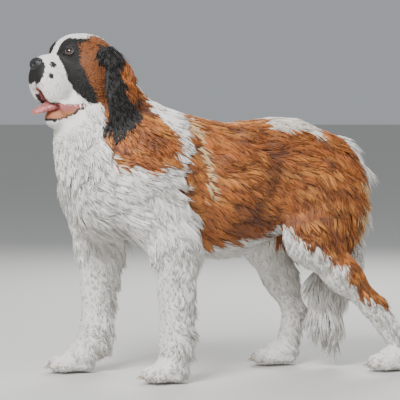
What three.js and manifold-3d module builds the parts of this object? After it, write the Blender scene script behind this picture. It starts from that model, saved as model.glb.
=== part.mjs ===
// A life-size saint bernard that stands still with its mouth open and its tail down.
// Millimetres, +Z up. The head points to -X and the dog's left side to -Y. The floor is z = 0.
import * as THREE from "three";
import { mergeVertices } from "three/addons/utils/BufferGeometryUtils.js";
import Module from "manifold-3d";

const wasm = await Module();
wasm.setup();

// Driving dimensions
const GAP = 0.4; // clearance between two nodes that meet
const MIDLINE = 8; // half of the flesh between the two legs of a pair
const FLAT = 0.02; // what is nearer to zero than this lies on the plane
const OVERCUT = 7; // how far a cutter stands proud of the surface that it opens
const HEAD = { at: [-462, -4, 912], yaw: 11, pitch: 2 }; // middle of the skull, turned to the left
const NECK_PLANE = { at: [-322, 0, 702], normal: [-0.5, 0, 0.866] };
const EYE = { radius: 12.5, proud: 4.2, towards: [-47, 50, 24] };
const LID = { thickness: 2.6, reach: 13.2 };

// Coat of each region: how deep the core lies below the tips of the coat
const CORE = { torso: 14, neck: 20, thigh: 12, shank: 6, arm: 10, forearm: 6, tail: 22, head: 1.5, ear: 2 };

// Places along each leg: top, middle joint, lower joint, and the middle of the paw
const foreJoints = (top, elbow, wrist, paw) => ({ top, elbow, wrist, paw });
const hindJoints = (top, stifle, hock, paw) => ({ top, stifle, hock, paw });
const FORELEGS = {
  left: { side: -1, ...foreJoints([-275, 120, 545], [-215, 148, 385], [-214, 150, 125], [-243, 150, 32]) },
  right: { side: 1, ...foreJoints([-412, 120, 545], [-352, 148, 375], [-364, 150, 120], [-437, 150, 32]) },
};
const HINDLEGS = {
  left: { side: -1, ...hindJoints([262, 85, 545], [205, 125, 395], [405, 122, 200], [470, 122, 32]) },
  right: { side: 1, ...hindJoints([245, 85, 545], [155, 120, 380], [250, 110, 165], [190, 110, 32]) },
};
const TAIL = [
  { at: [335, 0, 655], radius: 50 },
  { at: [385, 0, 590], radius: 50 },
  { at: [396, 5, 480], radius: 52 },
  { at: [370, 12, 360], radius: 60 },
  { at: [325, 18, 250], radius: 68 },
  { at: [316, 20, 160], radius: 60 },
  { at: [342, 20, 88], radius: 30 },
];

// Small vector helpers on plain arrays
const add = (a, b, k = 1) => [a[0] + b[0] * k, a[1] + b[1] * k, a[2] + b[2] * k];
const sub = (a, b) => [a[0] - b[0], a[1] - b[1], a[2] - b[2]];
const dot = (a, b) => a[0] * b[0] + a[1] * b[1] + a[2] * b[2];
const cross = (a, b) => [a[1] * b[2] - a[2] * b[1], a[2] * b[0] - a[0] * b[2], a[0] * b[1] - a[1] * b[0]];
const scale = (a, k) => [a[0] * k, a[1] * k, a[2] * k];
const unit = (a) => scale(a, 1 / (Math.hypot(...a) || 1));
const mix = (a, b, t) => add(scale(a, 1 - t), b, t);

// Turn by yaw, pitch and roll in degrees, as three columns
function turned(yaw = 0, pitch = 0, roll = 0) {
  const euler = new THREE.Euler(...[roll, pitch, yaw].map(THREE.MathUtils.degToRad), "ZYX");
  const e = new THREE.Matrix4().makeRotationFromEuler(euler).elements;
  return [[e[0], e[1], e[2]], [e[4], e[5], e[6]], [e[8], e[9], e[10]]];
}
const apply = (columns, v) => columns.reduce((sum, c, i) => add(sum, c, v[i]), [0, 0, 0]);

// An ellipsoid of flesh
function ball(centre, radii, blend, columns = turned()) {
  const distance = (p) => {
    const d = sub(p, centre);
    const q = columns.map((c) => dot(d, c));
    const near = Math.hypot(q[0] / radii[0], q[1] / radii[1], q[2] / radii[2]);
    const slope = Math.hypot(q[0] / radii[0] ** 2, q[1] / radii[1] ** 2, q[2] / radii[2] ** 2);
    return (near * (near - 1)) / Math.max(slope, 1e-9);
  };
  return { distance, blend };
}

// A round limb from a to b whose radius changes along it, squeezed across its side
function limb(a, b, radiusA, radiusB, blend, squeeze = 1, across = [0, 1, 0]) {
  const axis = sub(b, a);
  const length2 = dot(axis, axis);
  const side = unit(add(across, axis, -dot(across, axis) / length2));
  const distance = (p) => {
    let q = sub(p, a);
    const off = dot(q, side);
    q = add(q, side, off / squeeze - off);
    const t = THREE.MathUtils.clamp(dot(q, axis) / length2, 0, 1);
    return (Math.hypot(...add(q, axis, -t)) - (radiusA + t * (radiusB - radiusA))) * Math.min(1, squeeze);
  };
  return { distance, blend };
}

// Distance to several masses that run smoothly into one another
function distanceTo(masses, p) {
  let d = 1000;
  for (const mass of masses) {
    const v = mass.distance(p);
    const h = Math.max(mass.blend - Math.abs(d - v), 0) / mass.blend;
    d = Math.min(d, v) - h * h * mass.blend * 0.25;
  }
  return d;
}

// Direction in which the distance grows fastest
function outwards(masses, p, step = 1) {
  const here = [0, 1, 2].map((i) => {
    const e = [0, 0, 0];
    e[i] = step;
    return distanceTo(masses, add(p, e)) - distanceTo(masses, add(p, e, -1));
  });
  return unit(here);
}

const bothSides = (make) => [-1, 1].flatMap(make);

// Frame of the head: a point or a direction of the head, in the dog's frame
const headTurn = turned(HEAD.yaw, HEAD.pitch);
const onHead = (x, y, z) => add(HEAD.at, apply(headTurn, [x, y, z]));
const alongHead = (x, y, z) => apply(headTurn, [x, y, z]);
const headBall = (centre, radii, blend, ...turn) =>
  ball(onHead(...centre), radii, blend, turned(...turn).map((c) => apply(headTurn, c)));
const headLimb = (a, b, ra, rb, blend, squeeze) =>
  limb(onHead(...a), onHead(...b), ra, rb, blend, squeeze, alongHead(0, 1, 0));

const torsoMasses = [
  limb([-250, 0, 575], [-20, 0, 555], 180, 180, 50, 0.93), // rib cage
  limb([-20, 0, 555], [170, 0, 580], 176, 150, 60, 0.95), // loin
  limb([170, 0, 575], [265, 0, 570], 148, 136, 60, 0.98), // pelvis
  ball([-190, 0, 670], [140, 105, 95], 80), // withers
  ball([-395, 0, 545], [105, 135, 135], 70), // forechest
  ball([-100, 0, 440], [200, 100, 82], 80), // brisket
  ball([140, 0, 640], [160, 125, 105], 80), // croup
  ball([290, 0, 560], [95, 120, 130], 70), // rump
  ...bothSides((s) => [ball([-270, 115 * s, 560], [130, 65, 170], 70, turned(0, -14))]), // shoulder
];
const neckMasses = [
  limb([-300, 0, 655], [-385, 0, 825], 163, 112, 70, 0.82), // nape
  limb([-395, 0, 655], [-440, 0, 790], 135, 90, 70, 0.9), // throat
  ball([-470, 0, 700], [65, 85, 100], 60), // dewlap
];
const headMasses = [
  headBall([22, 0, 4], [88, 88, 80], 20), // skull
  headBall([-22, 0, 30], [40, 62, 42], 30), // forehead
  headLimb([-30, 0, -22], [-88, 0, -30], 60, 47, 20, 1), // muzzle
  headLimb([-50, 0, -8], [-108, 0, -9], 24, 21, 20, 1.5), // bridge of the nose
  ...bothSides((s) => [
    headBall([-40, 36 * s, 34], [28, 26, 22], 20), // brow
    headBall([30, 62 * s, -45], [60, 36, 62], 30, 0, -20), // cheek
    headBall([-80, 34 * s, -62], [52, 24, 62], 18, -6 * s), // flew
    headBall([-114, 20 * s, -48], [26, 26, 38], 15), // front of the lip
  ]),
];
const noseMasses = [headBall([-124, 0, -12], [22, 30, 21], 8)];
const jawMasses = [
  headLimb([20, 0, -115], [-62, 0, -160], 42, 26, 20, 1.2),
  headBall([-66, 0, -163], [24, 34, 22], 20),
  ...bothSides((s) => [headBall([-30, 44 * s, -140], [45, 14, 22], 15, 0, 20)]), // lower lip
];
const tongueMasses = [
  headLimb([0, 0, -118], [-85, 0, -128], 16, 13, 8, 2.2),
  headLimb([-85, 0, -128], [-128, 0, -146], 13, 9, 8, 2.4),
];
const earMasses = (s) => [
  headBall([54, 90 * s, 18], [34, 17, 30], 15, 0, 0, 8 * s),
  headBall([78, 112 * s, -50], [50, 10, 66], 20, -4 * s, 10, 4 * s),
  headBall([86, 116 * s, -115], [44, 10, 66], 20, -4 * s, 6, -2 * s),
];

// A paw points forwards: its body, four toes and the heel pad
function pawMasses(paw) {
  const toes = [[-26, -34], [-44, -12], [-44, 12], [-26, 34]];
  return [
    ball(add(paw, [12, 0, 12]), [52, 46, 30], 20),
    ...toes.map(([x, y]) => ball(add(paw, [x, y, -3]), [30, 14.5, 22], 8, turned(0, -12))),
    ball(add(paw, [20, 0, -12]), [45, 42, 18], 15),
  ];
}
const placed = (p, side) => [p[0], p[1] * side, p[2]];

function forelegMasses({ side, top, elbow, wrist, paw }) {
  const [t, e, w, f] = [top, elbow, wrist, paw].map((p) => placed(p, side));
  return [
    limb(t, add(e, [-10, 0, 0]), 80, 72, 50, 0.8),
    limb(e, add(w, [0, 0, 20]), 72, 48, 30, 0.9),
    limb(add(w, [0, 0, 20]), add(w, [-4, 0, -20]), 49, 47, 20),
    limb(add(w, [-4, 0, -20]), add(f, [22, 0, 22]), 46, 44, 25),
  ];
}
function hindlegMasses({ side, top, stifle, hock, paw }) {
  const [t, s, h, f] = [top, stifle, hock, paw].map((p) => placed(p, side));
  return [
    limb(t, s, 120, 72, 60, 0.62),
    ball(add(t, [40, 0, -70]), [92, 62, 130], 50, turned(0, 10)), // breech
    limb(s, mix(s, h, 0.55), 68, 48, 50, 0.8),
    limb(mix(s, h, 0.5), h, 54, 36, 30, 0.85),
    limb(h, add(f, [40, 0, 35]), 37, 36, 20),
  ];
}
const tailMasses = TAIL.slice(1).map((b, i) => limb(TAIL[i].at, b.at, TAIL[i].radius, b.radius, 30, 0.9));

// How far a ray from inside goes before it leaves the masses or the room kept for the piece
function reach(masses, from, along, { grow = 0, limit = 1000, shell = 0, keep = () => true }) {
  const inside = (p) => distanceTo(masses, p) < grow && keep(p);
  const most = limit + shell;
  const step = 4;
  let far = step;
  while (far < most && inside(add(from, along, far))) far += step;
  if (far >= most && inside(add(from, along, most))) return most;
  let near = far - step;
  for (let i = 0; i < 16; i++) {
    const middle = (near + far) / 2;
    if (inside(add(from, along, middle))) near = middle;
    else far = middle;
  }
  return Math.max(near, 0.5);
}

// A closed skin cast from a spine onto masses. Each end is round, or flat across the spine.
function cast(masses, spine, options) {
  const { rings, rays, shell = 0, ends = ["round", "round"], fan = 3, across = [0, 1, 0] } = options;
  const curve = new THREE.CatmullRomCurve3(spine.map((p) => new THREE.Vector3(...p)), false, "centripetal");
  const positions = [];
  const put = (p) => positions.push(...p.map((v) => (Math.abs(v) < FLAT ? 0 : v))) / 3 - 1;
  const shoot = (from, along) => put(add(from, along, reach(masses, from, along, options)));
  const station = (t) => {
    const at = curve.getPointAt(t).toArray();
    const along = curve.getTangentAt(t).toArray();
    const side = unit(add(across, along, -dot(across, along)));
    return { at, along, side, up: cross(along, side) };
  };
  const ring = ({ at, along, side, up }, tilt = 0) =>
    Array.from({ length: rays }, (_, i) => {
      const turn = (2 * Math.PI * i) / rays;
      const out = add(scale(side, Math.cos(turn)), up, Math.sin(turn));
      return shoot(at, add(scale(out, Math.cos(tilt)), along, Math.sin(tilt)));
    });
  // The rings of one end, from the body of the spine outwards, and its last point
  const finish = (which) => {
    const s = station(which);
    const away = which ? 1 : -1;
    if (ends[which] === "flat") {
      s.at = add(s.at, s.along, away * shell);
      return { rings: [ring(s)], tip: put(s.at) };
    }
    const tilts = Array.from({ length: fan }, (_, i) => (away * i * Math.PI) / 2 / fan);
    return { rings: tilts.map((tilt) => ring(s, tilt)), tip: shoot(s.at, scale(s.along, away)) };
  };
  const [start, end] = [finish(0), finish(1)];
  const between = Array.from({ length: rings - 1 }, (_, i) => ring(station((i + 1) / rings)));
  const rows = [...start.rings.reverse(), ...between, ...end.rings];
  const index = [];
  for (let i = 0; i < rays; i++) {
    const j = (i + 1) % rays;
    for (let r = 0; r + 1 < rows.length; r++) {
      const [a, b, c, d] = [rows[r][i], rows[r][j], rows[r + 1][j], rows[r + 1][i]];
      index.push(a, b, c, a, c, d);
    }
    index.push(start.tip, rows[0][j], rows[0][i]);
    index.push(end.tip, rows.at(-1)[i], rows.at(-1)[j]);
  }
  return solid(positions, index);
}

// A closed solid from corner positions and faces
function solid(positions, index) {
  const [vertProperties, triVerts] = [new Float32Array(positions), new Uint32Array(index)];
  return new wasm.Manifold(new wasm.Mesh({ numProp: 3, vertProperties, triVerts }));
}

// A three.js shape as a solid, stretched, then turned so that its Z axis points a given way
function shaped(geometry, at, along = [0, 0, 1], stretch = [1, 1, 1]) {
  const bare = geometry.clone();
  bare.deleteAttribute("normal");
  bare.deleteAttribute("uv");
  const way = new THREE.Vector3(...unit(along));
  const turn = new THREE.Quaternion().setFromUnitVectors(new THREE.Vector3(0, 0, 1), way);
  bare.scale(...stretch).applyQuaternion(turn).translate(...at);
  const merged = mergeVertices(bare, 1e-3);
  return solid(merged.attributes.position.array, merged.index.array);
}

// The space on the far side of a plane
function beyond({ at, normal }, offset = 0) {
  const size = 1600;
  const n = unit(normal);
  return shaped(new THREE.BoxGeometry(size, size, size), add(at, n, size / 2 + offset), n);
}

const largest = (body) => body.decompose().reduce((a, b) => (b.volume() > a.volume() ? b : a));
const join = (...bodies) => bodies.reduce((all, body) => all.add(body));
const without = (body, ...cutters) => cutters.reduce((left, cutter) => left.subtract(cutter), body);

// A piece in three sizes: its core, the room that its neighbours leave it, and the tool that opens a coat
function piece(masses, spine, core, options) {
  const at = (grow, shell) => cast(masses, spine, { ...options, grow: grow - core, shell });
  const places = spine.map((p) => new THREE.Vector3(...p));
  const curve = new THREE.CatmullRomCurve3(places, false, "centripetal");
  const line = curve.getSpacedPoints(24).map((v) => v.toArray());
  const { limit = Infinity, keep = () => true } = options;
  const holds = (p) => keep(p) && line.some((q) => Math.hypot(...sub(p, q)) < limit);
  const solids = { core: at(0, 0), room: at(GAP, GAP), opening: at(OVERCUT, GAP) };
  return { ...solids, depth: core, masses, curve, options, holds };
}

const bodyMasses = [...torsoMasses, ...neckMasses];
const neckStart = NECK_PLANE.at;
const neckBend = add(neckStart, NECK_PLANE.normal, 95);

const torso = piece(bodyMasses, [[262, 0, 572], [90, 0, 582], [-90, 0, 560], [-300, 0, 570]], CORE.torso, {
  rings: 10, rays: 20, fan: 3, limit: 236,
});
const neck = piece(bodyMasses, [neckStart, neckBend, [-418, 0, 868]], CORE.neck, {
  rings: 6, rays: 24, ends: ["flat", "flat"], limit: 236,
});
const head = piece(headMasses, [onHead(42, 0, -14), onHead(-20, 0, -16), onHead(-98, 0, -36)], CORE.head, {
  rings: 8, rays: 20, fan: 4, across: alongHead(0, 1, 0),
});
const jaw = piece(jawMasses, [onHead(14, 0, -116), onHead(-64, 0, -160)], 1, {
  rings: 4, rays: 16, fan: 3, across: alongHead(0, 1, 0),
});
const tongue = piece(tongueMasses, [onHead(-10, 0, -119), onHead(-85, 0, -128), onHead(-122, 0, -143.5)], 0, {
  rings: 5, rays: 10, fan: 2, across: alongHead(0, 1, 0),
});
const nose = piece(noseMasses, [onHead(-116, 0, -12), onHead(-130, 0, -12)], 0, {
  rings: 1, rays: 12, fan: 3, across: alongHead(0, 1, 0),
});
const earSpine = (s) => [onHead(56, 93 * s, 22), onHead(76, 111 * s, -45), onHead(87, 116 * s, -150)];
const ears = bothSides((s) => piece(earMasses(s), earSpine(s), CORE.ear, {
  rings: 6, rays: 12, fan: 3, across: alongHead(1, 0, 0),
}));

// The mouth is the arch between the hanging lips
const mouthAt = [-62, 0, -106];
const mouthSize = [82, 25, 46];
const hollow = (at, size, less = 0) =>
  shaped(new THREE.SphereGeometry(1, 12, 8), onHead(...at), [0, 0, 1], size.map((r) => r - less));

// Eyes sit in the skin where a line from the middle of the skull passes
function eyeAt(side) {
  const from = onHead(0, 0, 0);
  const along = unit(alongHead(EYE.towards[0], EYE.towards[1] * side, EYE.towards[2]));
  const depth = reach(headMasses, from, along, { grow: -CORE.head });
  const skin = add(from, along, depth);
  const facing = outwards(headMasses, skin);
  return { at: add(skin, facing, EYE.proud - EYE.radius), facing };
}

const FORE_CUT = 0.16; // share of the forearm that stays with the upper node
const HIND_CUT = 0.2; // share of the shin that stays with the thigh

// The two upper nodes of a leg stay on their own side of the body
const ownSide = (side, shell = 0) => (p) => p[1] * side > MIDLINE - shell;

function foreleg(leg) {
  const [top, elbow, wrist, paw] = [leg.top, leg.elbow, leg.wrist, leg.paw].map((p) => placed(p, leg.side));
  const cut = mix(elbow, wrist, FORE_CUT);
  const masses = forelegMasses(leg);
  const down = unit(sub(wrist, elbow));
  return {
    side: leg.side,
    upper: piece([...torsoMasses, ...masses], [top, add(cut, down, -90), cut], CORE.arm, {
      rings: 5, rays: 12, fan: 2, ends: ["round", "flat"], limit: 96, keep: ownSide(leg.side),
    }),
    lower: piece(masses, [add(cut, down, GAP), add(wrist, down, -30), add(paw, [20, 0, 20])], CORE.forearm, {
      rings: 6, rays: 10, ends: ["flat", "flat"],
    }),
    paw: pawPiece(paw),
    at: leg.paw,
  };
}

function hindleg(leg) {
  const [top, stifle, hock, paw] = [leg.top, leg.stifle, leg.hock, leg.paw].map((p) => placed(p, leg.side));
  const masses = hindlegMasses(leg);
  const cut = mix(stifle, hock, HIND_CUT);
  const down = unit(sub(hock, stifle));
  return {
    side: leg.side,
    upper: piece([...torsoMasses, ...masses], [top, mix(top, cut, 0.5), cut], CORE.thigh, {
      rings: 6, rays: 16, fan: 2, ends: ["round", "flat"], limit: 160, keep: ownSide(leg.side),
    }),
    lower: piece(masses, [add(cut, down, GAP), hock, add(paw, [42, 0, 32])], CORE.shank, {
      rings: 8, rays: 10, ends: ["flat", "flat"],
    }),
    paw: pawPiece(paw),
    at: leg.paw,
  };
}

function pawPiece(paw) {
  return piece(pawMasses(paw), [add(paw, [30, 0, 0]), add(paw, [-40, 0, -2])], 0, {
    rings: 4, rays: 16, fan: 3, keep: (p) => p[2] > 0,
  });
}

const tailPath = TAIL.map(({ at }) => at);
const tailCut = 3; // the place along the tail where its two nodes meet
const tailAcross = [0, 1, 0];
const tailUpper = piece(tailMasses, tailPath.slice(0, tailCut + 1), CORE.tail, {
  rings: 6, rays: 10, fan: 2, ends: ["round", "flat"], across: tailAcross,
});

const belowTailCut = add(tailPath[tailCut], unit(sub(tailPath[tailCut + 1], tailPath[tailCut])), GAP);
const tailLower = piece(tailMasses, [belowTailCut, ...tailPath.slice(tailCut + 1)], CORE.tail, {
  rings: 5, rays: 10, fan: 2, ends: ["flat", "round"], across: tailAcross,
});

const legs = {
  foreleg_left: foreleg(FORELEGS.left),
  foreleg_right: foreleg(FORELEGS.right),
  hindleg_left: hindleg(HINDLEGS.left),
  hindleg_right: hindleg(HINDLEGS.right),
};

// Four claws that point forwards and down from the toes
function claws(paw) {
  const places = [[-50, -35], [-68, -12], [-68, 12], [-50, 35]];
  return places.map(([x, y]) =>
    shaped(new THREE.ConeGeometry(4, 20, 5).rotateX(Math.PI / 2), add(paw, [x, y, -14]), [-0.85, 0, -0.35]));
}

// A raised rim round the eye, open where the eye looks out
function lids({ at, facing }) {
  const rim = new THREE.TorusGeometry(LID.reach, LID.thickness, 6, 14);
  return shaped(rim, add(at, facing, EYE.radius * 0.25), facing, [1, 0.86, 1.3]);
}

const eyes = [-1, 1].map(eyeAt);
const eyeball = ({ at, facing }, grow = 0) =>
  shaped(new THREE.SphereGeometry(EYE.radius + grow, 12, 8).rotateX(Math.PI / 2), at, facing);

// Nostrils: two hollows that open to the front and sides, and the groove between them
function nostrils() {
  const hole = new THREE.SphereGeometry(1, 8, 6);
  return [
    ...[-1, 1].map((s) => shaped(hole, onHead(-146, 13 * s, -13), [0, 0, 1], [8, 5.5, 5])),
    shaped(hole, onHead(-148, 0, -24), [0, 0, 1], [5, 1.6, 16]),
  ];
}

// The hollow on the inner side of an ear
const earCup = (s) =>
  shaped(new THREE.SphereGeometry(1, 10, 6), onHead(72, 103 * s, -52), [0, 0, 1], [26, 7, 44]);

// Which node of the long coat a place on the surface belongs to
function ownerOf(p) {
  if (dot(sub(p, neckStart), NECK_PLANE.normal) > 0)
    return distanceTo(headMasses, p) < distanceTo(neckMasses, p) ? "head" : "neck";
  let nearest = ["torso", distanceTo(torsoMasses, p)];
  const offer = (name, distance) => {
    if (distance < nearest[1]) nearest = [name, distance];
  };
  offer("tail", distanceTo(tailMasses, p));
  for (const [name, leg] of Object.entries(legs)) {
    const cut = leg.upper.curve.getPoint(1).toArray();
    const down = leg.upper.curve.getTangent(1).toArray();
    const below = dot(sub(p, cut), down) > 0;
    if (below) offer(name + " lower", distanceTo(leg.lower.masses, p));
    else if (leg.upper.holds(p) && nearest[0] !== "tail") return name + " upper";
  }
  return nearest[0];
}

const fleshMasses = [...bodyMasses, ...headMasses, ...Object.values(legs).flatMap((leg) => leg.lower.masses)];

// A place moved along the surface's own direction to a given height over the flesh's outline
function atHeight(masses, p, height) {
  let q = p;
  for (let i = 0; i < 3; i++) q = add(q, outwards(masses, q), height - distanceTo(masses, q));
  return q;
}

let seed = 5;
const random = () => {
  seed = (seed * 16807) % 2147483647;
  return seed / 2147483647;
};
const vary = (value, share) => value * (1 + share * (2 * random() - 1));

const LOCK_STEPS = [
  { along: 0, wide: 0.7, thick: 1 },
  { along: 0.36, wide: 1, thick: 1 },
  { along: 0.72, wide: 0.7, thick: 0.75 },
];
const ROOT_SINK = 7; // how deep a lock's root lies in the core
const UNDER = 2; // how far a lock's middle stays below the tips in its own node
const OVER = 3; // and how far it clears the coat of a node that it reaches over

// The corners of a flat, tapered lock that bends over the flesh along its lie
function lockPlan(owner, masses, depth, start, lie, { length, width, thickness }, mayCross) {
  const rings = [];
  let at = start;
  let crosses = false;
  const heightAt = (p, share, half) => {
    if (share > 0 && mayCross && ownerOf(p) !== owner) {
      crosses = true;
      return OVER + half;
    }
    const rise = Math.min(1, share / LOCK_STEPS[1].along);
    return -(depth + ROOT_SINK) * (1 - rise) - (UNDER + half) * rise;
  };
  let last = 0;
  for (const { along, wide, thick } of LOCK_STEPS) {
    const out = outwards(masses, at);
    const way = unit(add(lie(at), out, -dot(lie(at), out)));
    at = add(at, way, (along - last) * length);
    last = along;
    const side = cross(out, way);
    const half = (thick * thickness) / 2;
    const height = heightAt(at, along, half);
    at = atHeight(masses, at, height);
    const edges = [-1, 1].map((s) => atHeight(masses, add(at, side, (s * wide * width) / 2), height));
    const normal = outwards(masses, at);
    rings.push({ at, edges, normal, half });
  }
  const out = outwards(masses, at);
  const way = unit(add(lie(at), out, -dot(lie(at), out)));
  const end = add(at, way, (1 - last) * length);
  const tip = atHeight(masses, end, !mayCross || ownerOf(end) === owner ? -UNDER : OVER);
  const rooted = rings[0].edges.every((p) => ownerOf(p) === owner || !mayCross);
  return { rings, tip, crosses, rooted };
}

// The corners of a lock's three-sided sections
const sectionsOf = ({ rings }) =>
  rings.map(({ at, edges, normal, half }) => {
    const under = scale(normal, -half);
    return [add(edges[0], under), add(at, normal, half), add(edges[1], under)];
  });

function lockSolid(plan) {
  const sections = sectionsOf(plan);
  const positions = [...sections.flat(2), ...plan.tip];
  const sides = 3;
  const index = [0, 2, 1];
  const quad = (a, b, c, d) => index.push(a, b, c, a, c, d);
  for (let r = 0; r + 1 < sections.length; r++)
    for (let i = 0; i < sides; i++) {
      const j = (i + 1) % sides;
      quad(sides * r + i, sides * r + j, sides * (r + 1) + j, sides * (r + 1) + i);
    }
  const [base, end] = [sides * (sections.length - 1), sides * sections.length];
  for (let i = 0; i < sides; i++) index.push(base + i, base + ((i + 1) % sides), end);
  const made = solid(positions, index);
  if (made.volume() > 0) return made;
  for (let i = 0; i < index.length; i += 3) [index[i + 1], index[i + 2]] = [index[i + 2], index[i + 1]];
  return solid(positions, index);
}

// The room that a lock needs, as hulls from each section to the next
function lockRoom(plan) {
  const sections = sectionsOf(plan).map((corners, i) => {
    const { edges, normal } = plan.rings[i];
    const across = unit(sub(edges[1], edges[0]));
    const moves = [[-1, -1], [-1, 1], [1, -1], [1, 1]];
    return corners.flatMap((p) => moves.map(([s, t]) => add(add(p, across, s * GAP), normal, t * GAP)));
  });
  const point = add(plan.tip, unit(sub(plan.tip, plan.rings.at(-1).at)), 3 * GAP);
  const steps = sections.map((section, i) => [...section, ...(sections[i + 1] ?? [point])]);
  return join(...steps.map((corners) => wasm.Manifold.hull(corners)));
}

// No lock grows where an ear hangs over the coat
const EAR_CLEARANCE = 9;
const underEar = ({ rings, tip }) =>
  [tip, ...rings.flatMap(({ at, edges }) => [at, ...edges])].some((p) =>
    [-1, 1].some((s) => distanceTo(earMasses(s), p) < EAR_CLEARANCE));

const LENGTH_VARIES = 0.15;
const WIDTH_VARIES = 0.12;

// Locks in staggered rows along a piece's spine, and in tilted rows round its rounded ends
function coat(owner, { masses, curve, depth, options }, flesh, plan) {
  const { rows, around, from = 0, to = 1, lie, sizes } = plan;
  const { where = () => true, round = {}, mayCross = true } = plan;
  const plans = [];
  const level = Array.from({ length: rows }, (_, r) => {
    const t = from + ((to - from) * (r + 0.5)) / rows;
    return { t, tilt: 0, share: 1 };
  });
  const tilted = (t, count) => Array.from({ length: count }, (_, i) => {
    const tilt = ((i + 1) * Math.PI) / 2 / (count + 0.5);
    return { t, tilt: t ? tilt : -tilt, share: Math.cos(tilt) };
  });
  const lines = [...tilted(0, round.start ?? 0), ...level, ...tilted(1, round.end ?? 0)];
  lines.forEach(({ t, tilt, share }, r) => {
    const at = curve.getPointAt(t).toArray();
    const along = curve.getTangentAt(t).toArray();
    const across = options.across ?? [0, 1, 0];
    const side = unit(add(across, along, -dot(across, along)));
    const up = cross(along, side);
    const count = Math.max(3, Math.round(around * share));
    for (let k = 0; k < count; k++) {
      const turn = (2 * Math.PI * (k + (r % 2) / 2 + 0.3 * (random() - 0.5))) / count;
      const flat = add(scale(side, Math.cos(turn)), up, Math.sin(turn));
      const out = add(scale(flat, Math.cos(tilt)), along, Math.sin(tilt));
      const length = vary(sizes.length, LENGTH_VARIES);
      const width = vary(sizes.width, WIDTH_VARIES);
      const far = reach(masses, at, out, { ...options, grow: -depth, shell: 0 });
      const start = add(at, out, far);
      if (far >= (options.limit ?? Infinity) || !where(start, out) || ownerOf(start) !== owner) continue;
      const root = atHeight(flesh, start, -depth - ROOT_SINK);
      const size = { length, width, thickness: sizes.thickness };
      const made = lockPlan(owner, flesh, depth, root, lie, size, mayCross);
      if (made.rooted && !underEar(made)) plans.push(made);
    }
  });
  return plans;
}

const lies = {
  torso: () => [1, 0, -0.55],
  neck: () => [0.7, 0, -1],
  upper: () => [0.45, 0, -1],
  lower: () => [0.55, 0, -1],
};
const alongTail = (p) => {
  const far = tailPath.map((q) => Math.hypot(...sub(p, q)));
  const i = Math.min(far.indexOf(Math.min(...far)), tailPath.length - 2);
  return sub(tailPath[i + 1], tailPath[i]);
};

const size = (length, width, thickness) => ({ length, width, thickness });
const round = { start: 1 };
const lower = { lie: lies.lower, mayCross: false };
const COAT = {
  torso: { rows: 6, around: 10, round: { end: 1 }, sizes: size(132, 92, 8), lie: lies.torso },
  neck: { rows: 3, around: 8, from: 0.06, to: 0.84, sizes: size(108, 90, 9), lie: lies.neck },
  thigh: { rows: 3, around: 7, from: 0.05, to: 0.98, round, sizes: size(105, 76, 7), lie: lies.upper },
  arm: { rows: 2, around: 6, from: 0.3, to: 0.98, round, sizes: size(95, 66, 6), lie: lies.upper },
  forearm: { rows: 3, around: 5, from: 0.06, to: 0.7, sizes: size(66, 40, 5), ...lower },
  shank: { rows: 3, around: 4, from: 0.1, to: 0.6, sizes: size(66, 36, 5), ...lower },
  tail: { rows: 3, around: 5, sizes: size(118, 54, 8), lie: alongTail, mayCross: false },
};
const behind = (_, out) => out[0] > 0.35; // the feathering grows on the back of the legs only
const coats = new Map([
  ["torso", coat("torso", torso, fleshMasses, COAT.torso)],
  ["neck", coat("neck", neck, fleshMasses, COAT.neck)],
]);
for (const [name, leg] of Object.entries(legs)) {
  const [first, second] = name.startsWith("fore") ? [COAT.arm, COAT.forearm] : [COAT.thigh, COAT.shank];
  coats.set(name + " upper", coat(name + " upper", leg.upper, fleshMasses, first));
  const feathering = { ...second, where: behind };
  coats.set(name + " lower", coat(name + " lower", leg.lower, leg.lower.masses, feathering));
}
coats.set("tail_upper", coat("tail", tailUpper, tailMasses, { ...COAT.tail, from: 0.2 }));
coats.set("tail_lower", coat("tail", tailLower, tailMasses, COAT.tail));

const mouth = hollow(mouthAt, mouthSize);
const nodes = new Map();
const put = (name, body, finish) => nodes.set(name, { body: largest(body), finish });

// The side of a leg's cut that stays with its upper node
function aboveCut({ upper }) {
  const at = upper.curve.getPoint(1).toArray();
  return beyond({ at, normal: scale(upper.curve.getTangent(1).toArray(), -1) }, -2 * GAP);
}

// A core with its coat, whose locks keep their room clear of every coat that follows
const taken = [];
function clothed(core, coatName, { cut = [], trim = [] } = {}) {
  const plans = coats.get(coatName);
  const locks = without(join(...plans.map((plan) => lockSolid(plan))), ...trim);
  const body = without(join(core, locks), ...cut, ...taken);
  taken.push(...plans.map(lockRoom));
  return body;
}

const FINISH = {
  coat: { color: 0xb4672a, roughness: 0.9 },
  white: { color: 0xe9e4da, roughness: 0.9 },
  dark: { color: 0x2b211c, roughness: 0.85 },
  nose: { color: 0x17161a, roughness: 0.45 },
  tongue: { color: 0xd98a8e, roughness: 0.4 },
  eye: { color: 0x2a1a10, roughness: 0.08 },
};

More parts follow.
